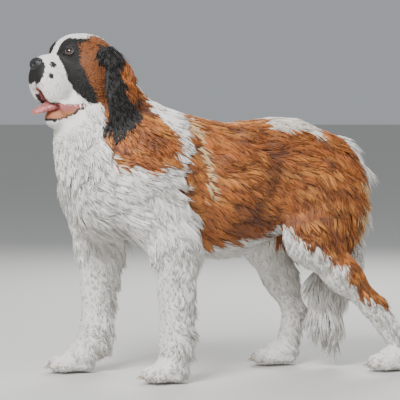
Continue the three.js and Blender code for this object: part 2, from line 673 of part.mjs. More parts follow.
const neckCore = without(neck.core, legs.foreleg_left.upper.opening, legs.foreleg_right.upper.opening);
put("neck", clothed(neckCore, "neck", { cut: [head.room, jaw.room] }), FINISH.coat);
const torsoCore = without(torso.core, beyond({ at: neckStart, normal: NECK_PLANE.normal }),
  ...Object.values(legs).map((leg) => leg.upper.opening), tailUpper.room);
put("torso", clothed(torsoCore, "torso", { cut: [neck.room] }), FINISH.coat);
const eyeRooms = eyes.map((e) => eyeball(e, GAP));
const face = join(head.core, ...eyes.map(lids));
put("head", without(face, mouth, nose.room, tongue.room, ...eyeRooms), FINISH.white);
put("jaw", without(jaw.core, head.room.subtract(hollow(mouthAt, mouthSize, GAP))), FINISH.white);
put("tongue", without(tongue.core, jaw.room, neck.room), FINISH.tongue);
put("nose", without(nose.core, ...nostrils()), FINISH.nose);
eyes.forEach((e, i) => put(i ? "eye_right" : "eye_left", eyeball(e), FINISH.eye));
[-1, 1].forEach((s, i) => {
  const ear = without(ears[i].core, head.room, neck.room, earCup(s));
  put(i ? "ear_right" : "ear_left", ear, FINISH.dark);
});
const floor = { at: [0, 0, 0], normal: [0, 0, -1] };
for (const [name, leg] of Object.entries(legs)) {
  const [first, second] = name.startsWith("fore") ? ["upper", "lower"] : ["thigh", "shank"];
  const tailRooms = name.startsWith("hind") ? [tailUpper.room, tailLower.room] : [];
  const trim = [torso.room.subtract(leg.upper.room)];
  put(name + "_" + first, clothed(without(leg.upper.core, ...tailRooms), name + " upper", { trim }), FINISH.coat);
  const cut = [aboveCut(leg), leg.paw.room, ...tailRooms];
  put(name + "_" + second, clothed(leg.lower.core, name + " lower", { cut }), FINISH.white);
  const paw = placed(leg.at, leg.side);
  put(name + "_paw", join(leg.paw.core, ...claws(paw)).subtract(beyond(floor)), FINISH.white);
}
const hindlegs = [legs.hindleg_left, legs.hindleg_right];
const rump = [torso.room, ...hindlegs.flatMap((leg) => [leg.upper.room, leg.lower.room])];
put("tail_upper", clothed(tailUpper.core, "tail_upper", { trim: rump }), FINISH.white);
put("tail_lower", clothed(tailLower.core, "tail_lower", { trim: rump, cut: [tailUpper.room] }), FINISH.white);

const dog = new THREE.Group();
for (const [name, { body, finish }] of nodes) {
  const mesh = body.getMesh();
  const corners = new Float32Array(mesh.vertProperties);
  const geometry = new THREE.BufferGeometry();
  geometry.setAttribute("position", new THREE.BufferAttribute(corners, mesh.numProp));
  geometry.setIndex(new THREE.BufferAttribute(new Uint32Array(mesh.triVerts), 1));
  geometry.computeVertexNormals();
  const made = new THREE.Mesh(geometry, new THREE.MeshStandardMaterial({ metalness: 0, ...finish }));
  made.name = name;
  dog.add(made);
}

// The origin lies on the floor under the middle of the dog's box
const box = new THREE.Box3().setFromObject(dog);
const middle = box.getCenter(new THREE.Vector3());
dog.position.set(-middle.x, -middle.y, -box.min.z);
const root = new THREE.Group();
root.add(dog);

export default root;
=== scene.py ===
"""A standing long-coated dog: skin, tufted coat, face and feet, on a pale studio floor."""
import logging
import math
from dataclasses import dataclass, field, fields
from enum import Enum
from functools import partial
from typing import Any

import bpy
import numpy as np
from mathutils import Matrix, Vector
from mathutils.kdtree import KDTree


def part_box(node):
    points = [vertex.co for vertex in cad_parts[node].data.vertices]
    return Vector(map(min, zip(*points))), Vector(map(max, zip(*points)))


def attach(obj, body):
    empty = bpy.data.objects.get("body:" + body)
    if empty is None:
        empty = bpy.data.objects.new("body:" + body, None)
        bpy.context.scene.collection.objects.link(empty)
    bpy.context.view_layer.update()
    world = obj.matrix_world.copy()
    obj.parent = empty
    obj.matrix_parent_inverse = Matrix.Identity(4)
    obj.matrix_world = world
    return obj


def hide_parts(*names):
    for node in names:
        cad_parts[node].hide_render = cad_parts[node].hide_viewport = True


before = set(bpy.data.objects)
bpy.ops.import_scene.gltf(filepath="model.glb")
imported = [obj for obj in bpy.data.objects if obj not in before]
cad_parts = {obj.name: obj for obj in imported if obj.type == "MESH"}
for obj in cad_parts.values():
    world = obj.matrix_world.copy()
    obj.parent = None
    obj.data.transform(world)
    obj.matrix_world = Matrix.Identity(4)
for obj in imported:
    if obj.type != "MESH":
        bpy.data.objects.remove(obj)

LOG = logging.getLogger("dog")
RNG = np.random.default_rng(11)

# Working frame in metres and degrees: nose towards -X, the dog's left side towards -Y, the floor at 0
HEAD_AT = np.array([-0.462, -0.004, 0.912])
HEAD_YAW, HEAD_PITCH = 11, 2
NOSE_AT = (-0.124, 0, -0.012)  # in the head's own frame
FEET = ((-0.243, -0.150, 0.032), (-0.437, 0.150, 0.032), (0.470, -0.122, 0.032), (0.190, 0.110, 0.032))
CLAWS = ((-0.050, -0.035), (-0.068, -0.012), (-0.068, 0.012), (-0.050, 0.035))  # from a foot's middle
SIDES = (-1, 1)  # the dog's left and right
ROOT_SINK = 0.002  # depth of a tuft's root in the skin
FLIPPED = [0, 3, 2, 1]  # corners of a quad that faces the other way


class Region(Enum):
    """Part of the body that a mass of flesh belongs to."""

    TORSO = 0
    NECK = 1
    HEAD = 2
    MUZZLE = 3
    JAW = 4
    EAR = 5
    ARM = 6
    FORELEG = 7
    THIGH = 8
    SHANK = 9
    PAW = 10
    TAIL = 11


@dataclass(frozen=True)
class Fur:
    """Coat of a region: tufts per square metre, lengths in front and behind, width, lift and lie."""

    density: float
    front: float
    rear: float
    width: float
    lift: float
    lie: tuple[float, float, float]
    depth: float


FUR = {
    Region.TORSO: Fur(54000, 0.054, 0.054, 0.0037, 20, (1, 0, -0.5), 0.014),
    Region.NECK: Fur(50000, 0.075, 0.062, 0.0038, 24, (0.55, 0, -1), 0.020),
    Region.HEAD: Fur(100000, 0.013, 0.020, 0.0026, 24, (1, 0, -0.45), 0.0015),
    Region.MUZZLE: Fur(110000, 0.010, 0.012, 0.0024, 20, (1, 0, -0.6), 0.0015),
    Region.JAW: Fur(90000, 0.010, 0.016, 0.0028, 24, (1, 0, -0.5), 0.001),
    Region.EAR: Fur(80000, 0.026, 0.036, 0.0032, 18, (0.25, 0, -1), 0.002),
    Region.ARM: Fur(46000, 0.040, 0.060, 0.0037, 21, (0.45, 0, -1), 0.010),
    Region.FORELEG: Fur(60000, 0.018, 0.056, 0.0042, 15, (0.35, 0, -1), 0.006),
    Region.THIGH: Fur(50000, 0.050, 0.070, 0.0037, 21, (0.5, 0, -1), 0.012),
    Region.SHANK: Fur(60000, 0.019, 0.050, 0.0042, 15, (0.4, 0, -1), 0.006),
    Region.PAW: Fur(100000, 0.012, 0.016, 0.0034, 17, (-0.7, 0, -0.5), 0.002),
    Region.TAIL: Fur(46000, 0.072, 0.088, 0.0038, 24, (0.05, 0, -1), 0.022),
}


def turned(yaw: float = 0, pitch: float = 0, roll: float = 0) -> np.ndarray:
    """Rotation by yaw, pitch and roll.

    Args:
        yaw, pitch, roll: angles in degrees.

    Returns:
        A 3 x 3 matrix.
    """
    return np.array(
        Matrix.Rotation(math.radians(yaw), 3, "Z")
        @ Matrix.Rotation(math.radians(pitch), 3, "Y")
        @ Matrix.Rotation(math.radians(roll), 3, "X")
    )


HEAD_TURN = turned(HEAD_YAW, HEAD_PITCH)
FACE_REGIONS = (Region.HEAD, Region.MUZZLE, Region.JAW)
LONG_REGIONS = (Region.TORSO, Region.NECK, Region.ARM, Region.THIGH, Region.TAIL)


def of_fur(name: str, regions: np.ndarray) -> np.ndarray:
    """The named value of the coat at each region number."""
    return np.array([getattr(FUR[r], name) for r in Region], float)[regions]


def among(regions: np.ndarray, wanted: tuple[Region, ...]) -> np.ndarray:
    """Which region numbers belong to the wanted regions."""
    return np.isin(regions, [r.value for r in wanted])


def held(*values: Any) -> Any:
    """A dataclass field that starts as a new array of the values."""
    return field(default_factory=partial(np.array, values, float))


def on_head(*p: float) -> np.ndarray:
    """A place given in the head's own frame, in the dog's frame.

    Args:
        p: the three coordinates.

    Returns:
        The place as an array.
    """
    return HEAD_AT + HEAD_TURN @ np.array(p, float)


def unit(v: np.ndarray) -> np.ndarray:
    """Vectors scaled to length one.

    Args:
        v: vectors in the last axis.

    Returns:
        The unit vectors.
    """
    return v / np.maximum(np.linalg.norm(v, axis=-1, keepdims=True), 1e-12)


@dataclass
class Mass:
    """A mass of flesh: an ellipsoid round one point, or a round limb between two."""

    region: Region
    a: np.ndarray
    radii: tuple[float, ...]
    blend: float
    b: np.ndarray | None = None
    squeeze: float = 1
    turn: np.ndarray | None = None
    side: np.ndarray | None = field(default=None, init=False)

    def __post_init__(self) -> None:
        """Makes the ends arrays and finds the direction across a limb."""
        self.a = np.array(self.a, float)
        self.turn = np.eye(3) if self.turn is None else self.turn
        if self.b is not None:
            self.b = np.array(self.b, float)
            axis = self.b - self.a
            side = self.turn[:, 1]
            self.side = unit(side - axis * (side @ axis) / (axis @ axis))

    def distance(self, p: np.ndarray) -> np.ndarray:
        """Signed distance.

        Args:
            p: places, n x 3.

        Returns:
            About the distance to the surface, negative inside.
        """
        q = p - self.a
        if self.b is None:
            q = q @ self.turn
            radii = np.array(self.radii)
            near = np.linalg.norm(q / radii, axis=-1)
            slope = np.linalg.norm(q / radii**2, axis=-1)
            return near * (near - 1) / np.maximum(slope, 1e-9)
        off = q @ self.side
        q = q + (off / self.squeeze - off)[..., None] * self.side
        axis = self.b - self.a
        t = np.clip(q @ axis / (axis @ axis), 0, 1)
        wide = self.radii[0] + t * (self.radii[1] - self.radii[0])
        return (np.linalg.norm(q - t[..., None] * axis, axis=-1) - wide) * min(1, self.squeeze)

    def box(self, margin: float) -> tuple[np.ndarray, np.ndarray]:
        """Box round the mass.

        Args:
            margin: added on every side.

        Returns:
            Lowest and highest corner.
        """
        ends = [self.a] if self.b is None else [self.a, self.b]
        reach = max(self.radii) * max(1, self.squeeze) + margin
        return np.min(ends, 0) - reach, np.max(ends, 0) + reach

    def unwrap(self, p: np.ndarray) -> np.ndarray:
        """Places on a cylinder round the mass.

        Args:
            p: places, n x 3.

        Returns:
            Share along the axis and share of a turn, n x 2.
        """
        axis = self.turn[:, 0] if self.b is None else unit(self.b - self.a)
        length, middle = self.radii[0] * 2, self.a
        if self.b is not None:
            length = np.linalg.norm(self.b - self.a) + 2 * max(self.radii)
            middle = (self.a + self.b) / 2
        side = unit(np.cross(axis, [0.3, 0.2, 1.0]))
        q = p - middle
        angle = np.arctan2(q @ side, q @ np.cross(axis, side)) / (2 * math.pi) + 0.5
        return np.stack([np.clip(q @ axis / length + 0.5, 0, 1), angle], -1)


def smooth_min(a: np.ndarray, b: np.ndarray, blend: float) -> np.ndarray:
    """Smaller of two distances, rounded where they meet.

    Args:
        a, b: distances.
        blend: width of the rounding.

    Returns:
        The blended distance.
    """
    h = np.maximum(blend - np.abs(a - b), 0) / blend
    return np.minimum(a, b) - h * h * blend / 4


def ball(region: Region, at: tuple, radii: tuple, blend: float, *turn: float) -> Mass:
    """An ellipsoid in the dog's frame, given in metres and degrees.

    Args:
        region: the region it belongs to.
        at, radii, blend: its centre, radii and blend.
        turn: yaw, pitch and roll.

    Returns:
        The mass.
    """
    return Mass(region, np.array(at), radii, blend, turn=turned(*turn))


def head_ball(region: Region, at: tuple, radii: tuple, blend: float, *turn: float) -> Mass:
    """An ellipsoid in the head's own frame.

    Args:
        region: the region it belongs to.
        at, radii, blend: its centre, radii and blend.
        turn: yaw, pitch and roll.

    Returns:
        The mass.
    """
    return Mass(region, on_head(*at), radii, blend, turn=HEAD_TURN @ turned(*turn))


def limb(region: Region, a: tuple, b: tuple, radii: tuple, blend: float, squeeze: float = 1) -> Mass:
    """A round limb in the dog's frame.

    Args:
        region: the region it belongs to.
        a, b: its ends.
        radii, blend, squeeze: radii at the ends, blend, and width across.

    Returns:
        The mass.
    """
    return Mass(region, np.array(a), radii, blend, np.array(b), squeeze)


def head_limb(region: Region, a: tuple, b: tuple, radii: tuple, blend: float, squeeze: float = 1) -> Mass:
    """A round limb in the head's own frame.

    Args:
        region: the region it belongs to.
        a, b: its ends.
        radii, blend, squeeze: radii at the ends, blend, and width across.

    Returns:
        The mass.
    """
    return Mass(region, on_head(*a), radii, blend, on_head(*b), squeeze, HEAD_TURN)


@dataclass
class Body:
    """The masses that the skin, the nose and the tongue are made from."""

    # For each leg: side, top in x and z, the two joints below it and the foot's number
    forelegs: tuple[tuple, ...] = (
        (-1, (-0.275, 0.545), (-0.215, 0.148, 0.385), (-0.214, 0.150, 0.125), 0),
        (1, (-0.412, 0.545), (-0.352, 0.148, 0.375), (-0.364, 0.150, 0.120), 1),
    )
    hindlegs: tuple[tuple, ...] = (
        (-1, (0.262, 0.545), (0.205, 0.125, 0.395), (0.405, 0.122, 0.200), 2),
        (1, (0.245, 0.545), (0.155, 0.120, 0.380), (0.250, 0.110, 0.165), 3),
    )
    # Places along the tail and its radius there
    tail_path: tuple[tuple, ...] = (
        ((0.335, 0, 0.655), 0.050),
        ((0.385, 0, 0.590), 0.050),
        ((0.396, 0.005, 0.480), 0.052),
        ((0.370, 0.012, 0.360), 0.060),
        ((0.325, 0.018, 0.250), 0.068),
        ((0.316, 0.020, 0.160), 0.060),
        ((0.342, 0.020, 0.088), 0.030),
    )

    @staticmethod
    def mouth() -> Mass:
        """The hollow of the mouth."""
        return head_ball(Region.JAW, (-0.062, 0, -0.106), (0.082, 0.025, 0.046), 0.006)

    @staticmethod
    def trunk() -> list[Mass]:
        """Torso and neck.

        Returns:
            The masses.
        """
        t, n = Region.TORSO, Region.NECK
        masses = [
            limb(t, (-0.250, 0, 0.575), (-0.020, 0, 0.555), (0.180, 0.180), 0.050, 0.93),
            limb(t, (-0.020, 0, 0.555), (0.170, 0, 0.580), (0.176, 0.150), 0.060, 0.95),
            limb(t, (0.170, 0, 0.575), (0.265, 0, 0.570), (0.148, 0.136), 0.060, 0.98),
            ball(t, (-0.190, 0, 0.670), (0.140, 0.105, 0.095), 0.080),
            ball(t, (-0.395, 0, 0.545), (0.105, 0.135, 0.135), 0.070),
            ball(t, (-0.100, 0, 0.440), (0.200, 0.100, 0.082), 0.080),
            ball(t, (0.140, 0, 0.640), (0.160, 0.125, 0.105), 0.080),
            ball(t, (0.290, 0, 0.560), (0.095, 0.120, 0.130), 0.070),
        ]
        masses += [ball(t, (-0.270, 0.115 * s, 0.560), (0.130, 0.065, 0.170), 0.070, 0, -14) for s in SIDES]
        return masses + [
            limb(n, (-0.300, 0, 0.655), (-0.385, 0, 0.825), (0.163, 0.112), 0.070, 0.82),
            limb(n, (-0.395, 0, 0.655), (-0.440, 0, 0.790), (0.135, 0.090), 0.070, 0.90),
            ball(n, (-0.470, 0, 0.700), (0.065, 0.085, 0.100), 0.060),
        ]

    @staticmethod
    def head() -> list[Mass]:
        """Skull, muzzle, brows, cheeks and lips.

        Returns:
            The masses.
        """
        h, m = Region.HEAD, Region.MUZZLE
        masses = [
            head_ball(h, (0.022, 0, 0.004), (0.088, 0.088, 0.080), 0.020),
            head_ball(h, (-0.022, 0, 0.030), (0.040, 0.062, 0.042), 0.030),
            head_limb(m, (-0.030, 0, -0.022), (-0.088, 0, -0.030), (0.060, 0.047), 0.020),
            head_limb(m, (-0.050, 0, -0.008), (-0.108, 0, -0.009), (0.024, 0.021), 0.020, 1.5),
        ]
        for s in SIDES:
            masses += [
                head_ball(h, (-0.040, 0.036 * s, 0.034), (0.028, 0.026, 0.022), 0.020),
                head_ball(h, (0.030, 0.062 * s, -0.045), (0.060, 0.036, 0.062), 0.030, 0, -20),
                head_ball(m, (-0.080, 0.034 * s, -0.062), (0.052, 0.024, 0.062), 0.018, -6 * s),
                head_ball(m, (-0.114, 0.020 * s, -0.048), (0.026, 0.026, 0.038), 0.015),
            ]
        return masses

    @staticmethod
    def jaw() -> list[Mass]:
        """Lower jaw, chin and lower lips.

        Returns:
            The masses.
        """
        j = Region.JAW
        return [
            head_limb(j, (0.020, 0, -0.115), (-0.062, 0, -0.160), (0.042, 0.026), 0.020, 1.2),
            head_ball(j, (-0.066, 0, -0.163), (0.024, 0.034, 0.022), 0.020),
        ] + [head_ball(j, (-0.030, 0.044 * s, -0.140), (0.045, 0.014, 0.022), 0.015, 0, 20) for s in SIDES]

    @staticmethod
    def ears() -> list[Mass]:
        """The two hanging ears.

        Returns:
            The masses.
        """
        e = Region.EAR
        return [
            mass
            for s in SIDES
            for mass in (
                head_ball(e, (0.054, 0.090 * s, 0.018), (0.034, 0.017, 0.030), 0.015, 0, 0, 8 * s),
                head_ball(e, (0.078, 0.112 * s, -0.050), (0.050, 0.010, 0.066), 0.020, -4 * s, 10, 4 * s),
                head_ball(e, (0.086, 0.116 * s, -0.115), (0.044, 0.010, 0.066), 0.020, -4 * s, 6, -2 * s),
            )
        ]

    def legs(self) -> list[Mass]:
        """Four legs with their paws.

        Returns:
            The masses.
        """
        masses = []
        for s, top, elbow, wrist, foot in self.forelegs:
            t = np.array([top[0], 0.120 * s, top[1]])
            e, w = np.array(elbow) * [1, s, 1], np.array(wrist) * [1, s, 1]
            f = np.array(FEET[foot])
            masses += [
                limb(Region.ARM, t, e + [-0.010, 0, 0], (0.080, 0.072), 0.050, 0.8),
                limb(Region.FORELEG, e, w + [0, 0, 0.020], (0.072, 0.048), 0.030, 0.9),
                limb(Region.FORELEG, w + [0, 0, 0.020], w + [-0.004, 0, -0.020], (0.049, 0.047), 0.020),
                limb(Region.FORELEG, w + [-0.004, 0, -0.020], f + [0.022, 0, 0.022], (0.046, 0.044), 0.025),
            ]
        for s, top, stifle, hock, foot in self.hindlegs:
            t = np.array([top[0], 0.085 * s, top[1]])
            k, h = np.array(stifle) * [1, s, 1], np.array(hock) * [1, s, 1]
            f = np.array(FEET[foot])
            masses += [
                limb(Region.THIGH, t, k, (0.120, 0.072), 0.060, 0.62),
                ball(Region.THIGH, t + [0.040, 0, -0.070], (0.092, 0.062, 0.130), 0.050, 0, 10),
                limb(Region.SHANK, k, k + 0.55 * (h - k), (0.068, 0.048), 0.050, 0.8),
                limb(Region.SHANK, k + 0.5 * (h - k), h, (0.054, 0.036), 0.030, 0.85),
                limb(Region.SHANK, h, f + [0.040, 0, 0.035], (0.037, 0.036), 0.020),
            ]
        for f in map(np.array, FEET):
            masses.append(ball(Region.PAW, f + [0.012, 0, 0.012], (0.052, 0.046, 0.030), 0.020))
            for x, y in ((-0.026, -0.034), (-0.044, -0.012), (-0.044, 0.012), (-0.026, 0.034)):
                masses.append(ball(Region.PAW, f + [x, y, -0.003], (0.030, 0.0145, 0.022), 0.008, 0, -12))
            masses.append(ball(Region.PAW, f + [0.020, 0, -0.012], (0.045, 0.042, 0.018), 0.015))
        return masses

    def tail(self) -> list[Mass]:
        """The hanging tail.

        Returns:
            The masses.
        """
        steps = zip(self.tail_path, self.tail_path[1:])
        return [limb(Region.TAIL, a, b, (ra, rb), 0.030, 0.9) for (a, ra), (b, rb) in steps]


@dataclass
class Shape:
    """Masses joined in order, with hollows cut at given steps."""

    steps: list[tuple[Mass, bool]]
    inset: bool = True

    def distance(self, p: np.ndarray) -> np.ndarray:
        """Signed distance of the whole shape.

        Args:
            p: places, n x 3.

        Returns:
            The distances.
        """
        d = np.full(p.shape[:-1], 1.0)
        for mass, hollow in self.steps:
            d = self._joined(d, mass, hollow, p)
        return d

    def _joined(self, d: np.ndarray, mass: Mass, hollow: bool, p: np.ndarray) -> np.ndarray:
        """Distances with one more mass joined or cut.

        Args:
            d: the distances so far.
            mass: the mass.
            hollow: whether it is cut out.
            p: places, n x 3.

        Returns:
            The distances.
        """
        if hollow:
            return -smooth_min(-d, mass.distance(p), mass.blend)
        depth = FUR[mass.region].depth if self.inset else 0
        return smooth_min(d, mass.distance(p) + depth, mass.blend)

    def surface(self, axes: list[np.ndarray]) -> tuple[np.ndarray, np.ndarray]:
        """Quads on the zero surface, by surface nets.

        Args:
            axes: grid positions along x, y and z.

        Returns:
            Corners and quads.
        """
        d = np.full([len(a) for a in axes], 0.1)
        for mass, hollow in self.steps:
            low, high = mass.box(0.05)
            part = tuple(slice(*np.searchsorted(a, [low[i], high[i]])) for i, a in enumerate(axes))
            places = np.stack(np.meshgrid(*[a[s] for a, s in zip(axes, part)], indexing="ij"), -1)
            if places.size:
                d[part] = self._joined(d[part], mass, hollow, places)
        return nets(d, axes)


def nets(d: np.ndarray, axes: list[np.ndarray]) -> tuple[np.ndarray, np.ndarray]:
    """Surface nets on a grid of distances.

    Args:
        d: the distances.
        axes: grid positions along x, y and z.

    Returns:
        Corners, n x 3, and quads, m x 4, with outward normals.
    """
    inside = d < 0
    cells = np.array(d.shape) - 1
    corners = np.array([(i, j, k) for i in (0, 1) for j in (0, 1) for k in (0, 1)])
    parts = [tuple(slice(c, c + n) for c, n in zip(corner, cells)) for corner in corners]
    count = sum(inside[part].astype(int) for part in parts)
    active = np.argwhere((count > 0) & (count < 8))
    index = np.full(tuple(cells), -1)
    index[tuple(active.T)] = np.arange(len(active))
    total, hits = np.zeros((len(active), 3)), np.zeros(len(active))
    for axis in range(3):
        for corner in corners[corners[:, axis] == 0]:
            near = active + corner
            far = near + np.eye(3, dtype=int)[axis]
            v0, v1 = d[tuple(near.T)], d[tuple(far.T)]
            hit = (v0 < 0) != (v1 < 0)
            t = np.where(hit, v0 / np.where(hit, v0 - v1, 1), 0)
            p = np.stack([axes[i][near[:, i]] for i in range(3)], 1)
            p[:, axis] += t * (axes[axis][far[:, axis]] - p[:, axis])
            total[hit] += p[hit]
            hits[hit] += 1
    quads = []
    for a in range(3):
        b, c = (a + 1) % 3, (a + 2) % 3
        first, second = [slice(None)] * 3, [slice(None)] * 3
        first[a], second[a] = slice(0, -1), slice(1, None)
        edges = np.argwhere(inside[tuple(first)] != inside[tuple(second)])
        edges = edges[(edges[:, [b, c]] > 0).all(1) & (edges[:, [b, c]] < cells[[b, c]]).all(1)]
        ring = []
        for db, dc in ((0, 0), (1, 0), (1, 1), (0, 1)):
            q = edges.copy()
            q[:, b] -= db
            q[:, c] -= dc
            ring.append(index[tuple(q.T)])
        ring = np.stack(ring, 1)
        flip = ~inside[tuple(edges.T)]
        ring[flip] = ring[flip][:, ::-1]
        quads.append(ring)
    return total / hits[:, None], np.concatenate(quads)


def ripple(p: np.ndarray, size: float, seed: int, waves: int = 5) -> np.ndarray:
    """Smooth repeatable noise between about -1 and 1.

    Args:
        p: places, n x 3.
        size: length of the waves in metres.
        seed: number of the pattern.
        waves: how many waves are added up.

    Returns:
        One value for each place.
    """
    rng = np.random.default_rng(seed)
    value = np.zeros(len(p))
    for _ in range(waves):
        way = unit(rng.normal(size=3)) * 2 * math.pi / (size * rng.uniform(0.6, 1.5))
        value += np.sin(p @ way + rng.uniform(0, 6.28) + 1.3 * np.sin(p @ way[[1, 2, 0]] * 0.6))
    return value / math.sqrt(waves)


def inside_outline(x: np.ndarray, z: np.ndarray, outline: np.ndarray) -> np.ndarray:
    """Which places lie inside a side-view outline.

    Args:
        x, z: coordinates of the places.
        outline: corners of the outline.

    Returns:
        True for those inside.
    """
    inside = np.zeros(len(x), bool)
    for (x0, z0), (x1, z1) in zip(outline, np.roll(outline, -1, axis=0)):
        if z0 != z1:
            inside ^= ((z0 > z) != (z1 > z)) & (x < (x1 - x0) * (z - z0) / (z1 - z0) + x0)
    return inside


@dataclass
class Markings:
    """Colours of the coat by place, the same on both sides but for two spots on the muzzle."""

    body: Body
    white: np.ndarray = held(0.86, 0.83, 0.78)
    cream: np.ndarray = held(0.68, 0.47, 0.25)
    tan: np.ndarray = held(0.50, 0.145, 0.020)
    gold: np.ndarray = held(0.66, 0.27, 0.055)
    brown: np.ndarray = held(0.13, 0.035, 0.008)
    black: np.ndarray = held(0.010, 0.008, 0.007)
    pink: np.ndarray = held(0.36, 0.11, 0.10)
    gum: np.ndarray = held(0.40, 0.15, 0.07)
    mantle: np.ndarray = held(
        (-0.186, 0.90), (-0.186, 0.663), (-0.207, 0.621), (-0.222, 0.536), (-0.237, 0.451),
        (-0.222, 0.400), (-0.177, 0.388), (-0.132, 0.398), (-0.036, 0.403), (0.047, 0.416),
        (0.097, 0.435), (0.134, 0.443), (0.159, 0.399), (0.229, 0.368), (0.302, 0.331),
        (0.318, 0.292), (0.350, 0.232), (0.431, 0.200), (0.60, 0.20), (0.60, 0.90),
    )
    nape: np.ndarray = held(
        (-0.330, 1.00), (-0.311, 0.873), (-0.262, 0.780), (-0.226, 0.700), (-0.232, 0.640), (-0.250, 0.622),
        (-0.275, 0.632), (-0.310, 0.606), (-0.345, 0.628), (-0.380, 0.615), (-0.410, 0.655), (-0.415, 0.760),
        (-0.420, 1.00),
    )
    croup: np.ndarray = held((0.072, 0.80), (0.243, 0.80), (0.244, 0.664), (0.158, 0.672), (0.073, 0.700))
    mask: np.ndarray = held(
        (-0.078, 0.052), (-0.078, 0.007), (-0.058, -0.048), (-0.018, -0.097), (0.029, -0.141),
        (0.043, -0.171), (0.200, -0.171), (0.200, 0.110), (0.000, 0.110), (-0.030, 0.088), (-0.062, 0.074),
    )
    cheek: np.ndarray = held(
        (-0.032, 0.054), (0.010, 0.060), (0.050, 0.020), (0.060, -0.050), (0.060, -0.150), (0.034, -0.150),
        (0.020, -0.100), (-0.010, -0.050), (-0.030, 0.000),
    )
    whole_fray: float = 0.5  # random part of the fraying
    face_fray: float = 0.25  # share of the fraying that the face has
    blaze: float = 0.018  # half the width of the white stripe between the eyes
    # Cream streak: x, z, slope, half its width and its foot
    streak: tuple[float, ...] = (-0.148, 0.69, -0.13, 0.010, 0.535)
    # Dark band of the flank: x, z, slope, half its width, its middle and its reach
    flank: tuple[float, ...] = (0.075, 0.64, 0.60, 0.030, 0.555, 0.145)
    croup_half: float = 0.085
    rear: tuple[float, ...] = (0.352, 0.346, 0.60)  # x, lowest and highest z of the cream behind
    spots: tuple[tuple, ...] = ((-0.100, -0.012, 0.009), (-0.107, -0.044, 0.008))  # u, w and radius

    def colours(self, p: np.ndarray, regions: np.ndarray, scatter: float) -> np.ndarray:
        """Colour of the coat at each place.

        Args:
            p: places in the dog's frame, n x 3.
            regions: region number of each place.
            scatter: how far the edges of the patches fray, in metres.

        Returns:
            Linear colours, n x 3.
        """
        x = p[:, 0] + scatter * (ripple(p, 0.05, 1) + RNG.normal(0, self.whole_fray, len(p)))
        z = p[:, 2] + scatter * (ripple(p, 0.05, 2) + RNG.normal(0, self.whole_fray, len(p)))
        made = np.tile(self.white, (len(p), 1))
        made *= (1 - 0.10 * np.clip(ripple(p, 0.12, 3), 0, 1))[:, None]
        is_head = among(regions, (*FACE_REGIONS, Region.EAR))
        body = ~is_head & ~among(regions, (Region.FORELEG, Region.PAW, Region.TAIL, Region.ARM))
        coat = self._ginger(p)
        mantle = body & inside_outline(x, z, self.mantle)
        made[mantle] = coat[mantle]
        at, height, slope, half, foot = self.streak
        made[mantle & (np.abs(x - at + (height - z) * slope) < half) & (z > foot)] = self.cream
        shade = (self._flank_shade(p, x, z) * mantle)[:, None]
        made = made * (1 - shade) + 0.7 * self.brown * shade
        croup = mantle & inside_outline(x, z, self.croup) & (np.abs(p[:, 1]) < self.croup_half)
        made[croup] = 0.75 * self.white + 0.25 * self.cream
        front, low, high = self.rear
        made[mantle & (x > front) & (z > low) & (z < high)] = self.cream
        nape = body & inside_outline(x, z, self.nape)
        made[nape] = coat[nape]
        self._face(made, p, regions, scatter)
        return made

    def _ginger(self, p: np.ndarray) -> np.ndarray:
        """Mottled orange and brown of the mantle.

        Args:
            p: places, n x 3.

        Returns:
            Linear colours, n x 3.
        """
        along = p * [0.5, 1, 1]
        mottle = np.clip(0.5 + 0.33 * ripple(along, 0.055, 4) + 0.2 * ripple(p, 0.016, 5), 0, 1)[:, None]
        coat = self.tan * mottle + self.brown * (1 - mottle)
        glow = np.clip(ripple(along, 0.035, 6) - 0.1, 0, 1)[:, None]
        return coat * (1 - 0.6 * glow) + self.gold * 0.6 * glow

    def _flank_shade(self, p: np.ndarray, x: np.ndarray, z: np.ndarray) -> np.ndarray:
        """Share of dark brown in the band that runs down the flank.

        Args:
            p: places, n x 3.
            x, z: frayed coordinates of the places.

        Returns:
            One share for each place.
        """
        at, height, slope, half, middle, reach = self.flank
        away = np.abs(x - (at - (height - z) * slope)) / (half + 0.012 * ripple(p, 0.08, 7))
        away = np.maximum(away, np.abs(z - middle) / reach)
        return 0.85 * np.clip(1.35 - away, 0, 1)

    def _face(self, made: np.ndarray, p: np.ndarray, regions: np.ndarray, scatter: float) -> None:
        """Colours the head in the head's own frame.

        Args:
            made: colours to change, n x 3.
            p: places, n x 3.
            regions: region number of each place.
            scatter: how far the edges of the patches fray.
        """
        q = (p - HEAD_AT) @ HEAD_TURN
        u = q[:, 0] + self.face_fray * scatter * RNG.normal(0, 1, len(p))
        w = q[:, 2] + self.face_fray * scatter * RNG.normal(0, 1, len(p))
        across = np.abs(q[:, 1])
        is_head = among(regions, (*FACE_REGIONS, Region.EAR))
        blaze = self.blaze + 0.45 * np.clip(w - 0.050, 0, 1)
        mask = is_head & inside_outline(u, w, self.mask) & (across > blaze) & (w < 0.066 + np.clip(u, 0, 1))
        made[mask] = self.black
        made[mask & inside_outline(u, w, self.cheek) & (across > 0.045)] = 0.5 * self.tan + 0.35 * self.brown
        made[mask & (w > 0.05) & (u > 0.0)] = 0.6 * self.tan + 0.4 * self.brown
        ear = among(regions, (Region.EAR,))
        made[ear] = self.black
        rust = ear & (u > 0.080 + 0.12 * np.abs(w + 0.025)) & (w < 0.030) & (w > -0.090)
        made[rust] = 0.7 * self.tan + 0.3 * self.brown
        muzzle = among(regions, (Region.MUZZLE,))
        # Black front of the muzzle: the black lips, with painted shade over the front of the muzzle
        made[muzzle & (u < -0.121 + 0.3 * np.clip(w + 0.02, -1, 0)) & (w < 0.004)] = self.black
        for at, height, radius in self.spots:
            made[muzzle & (np.hypot(u - at, w - height) < radius) & (q[:, 1] < 0)] = self.black
        made[muzzle & (w < -0.117)] = self.black
        mouth = self.mouth(p)
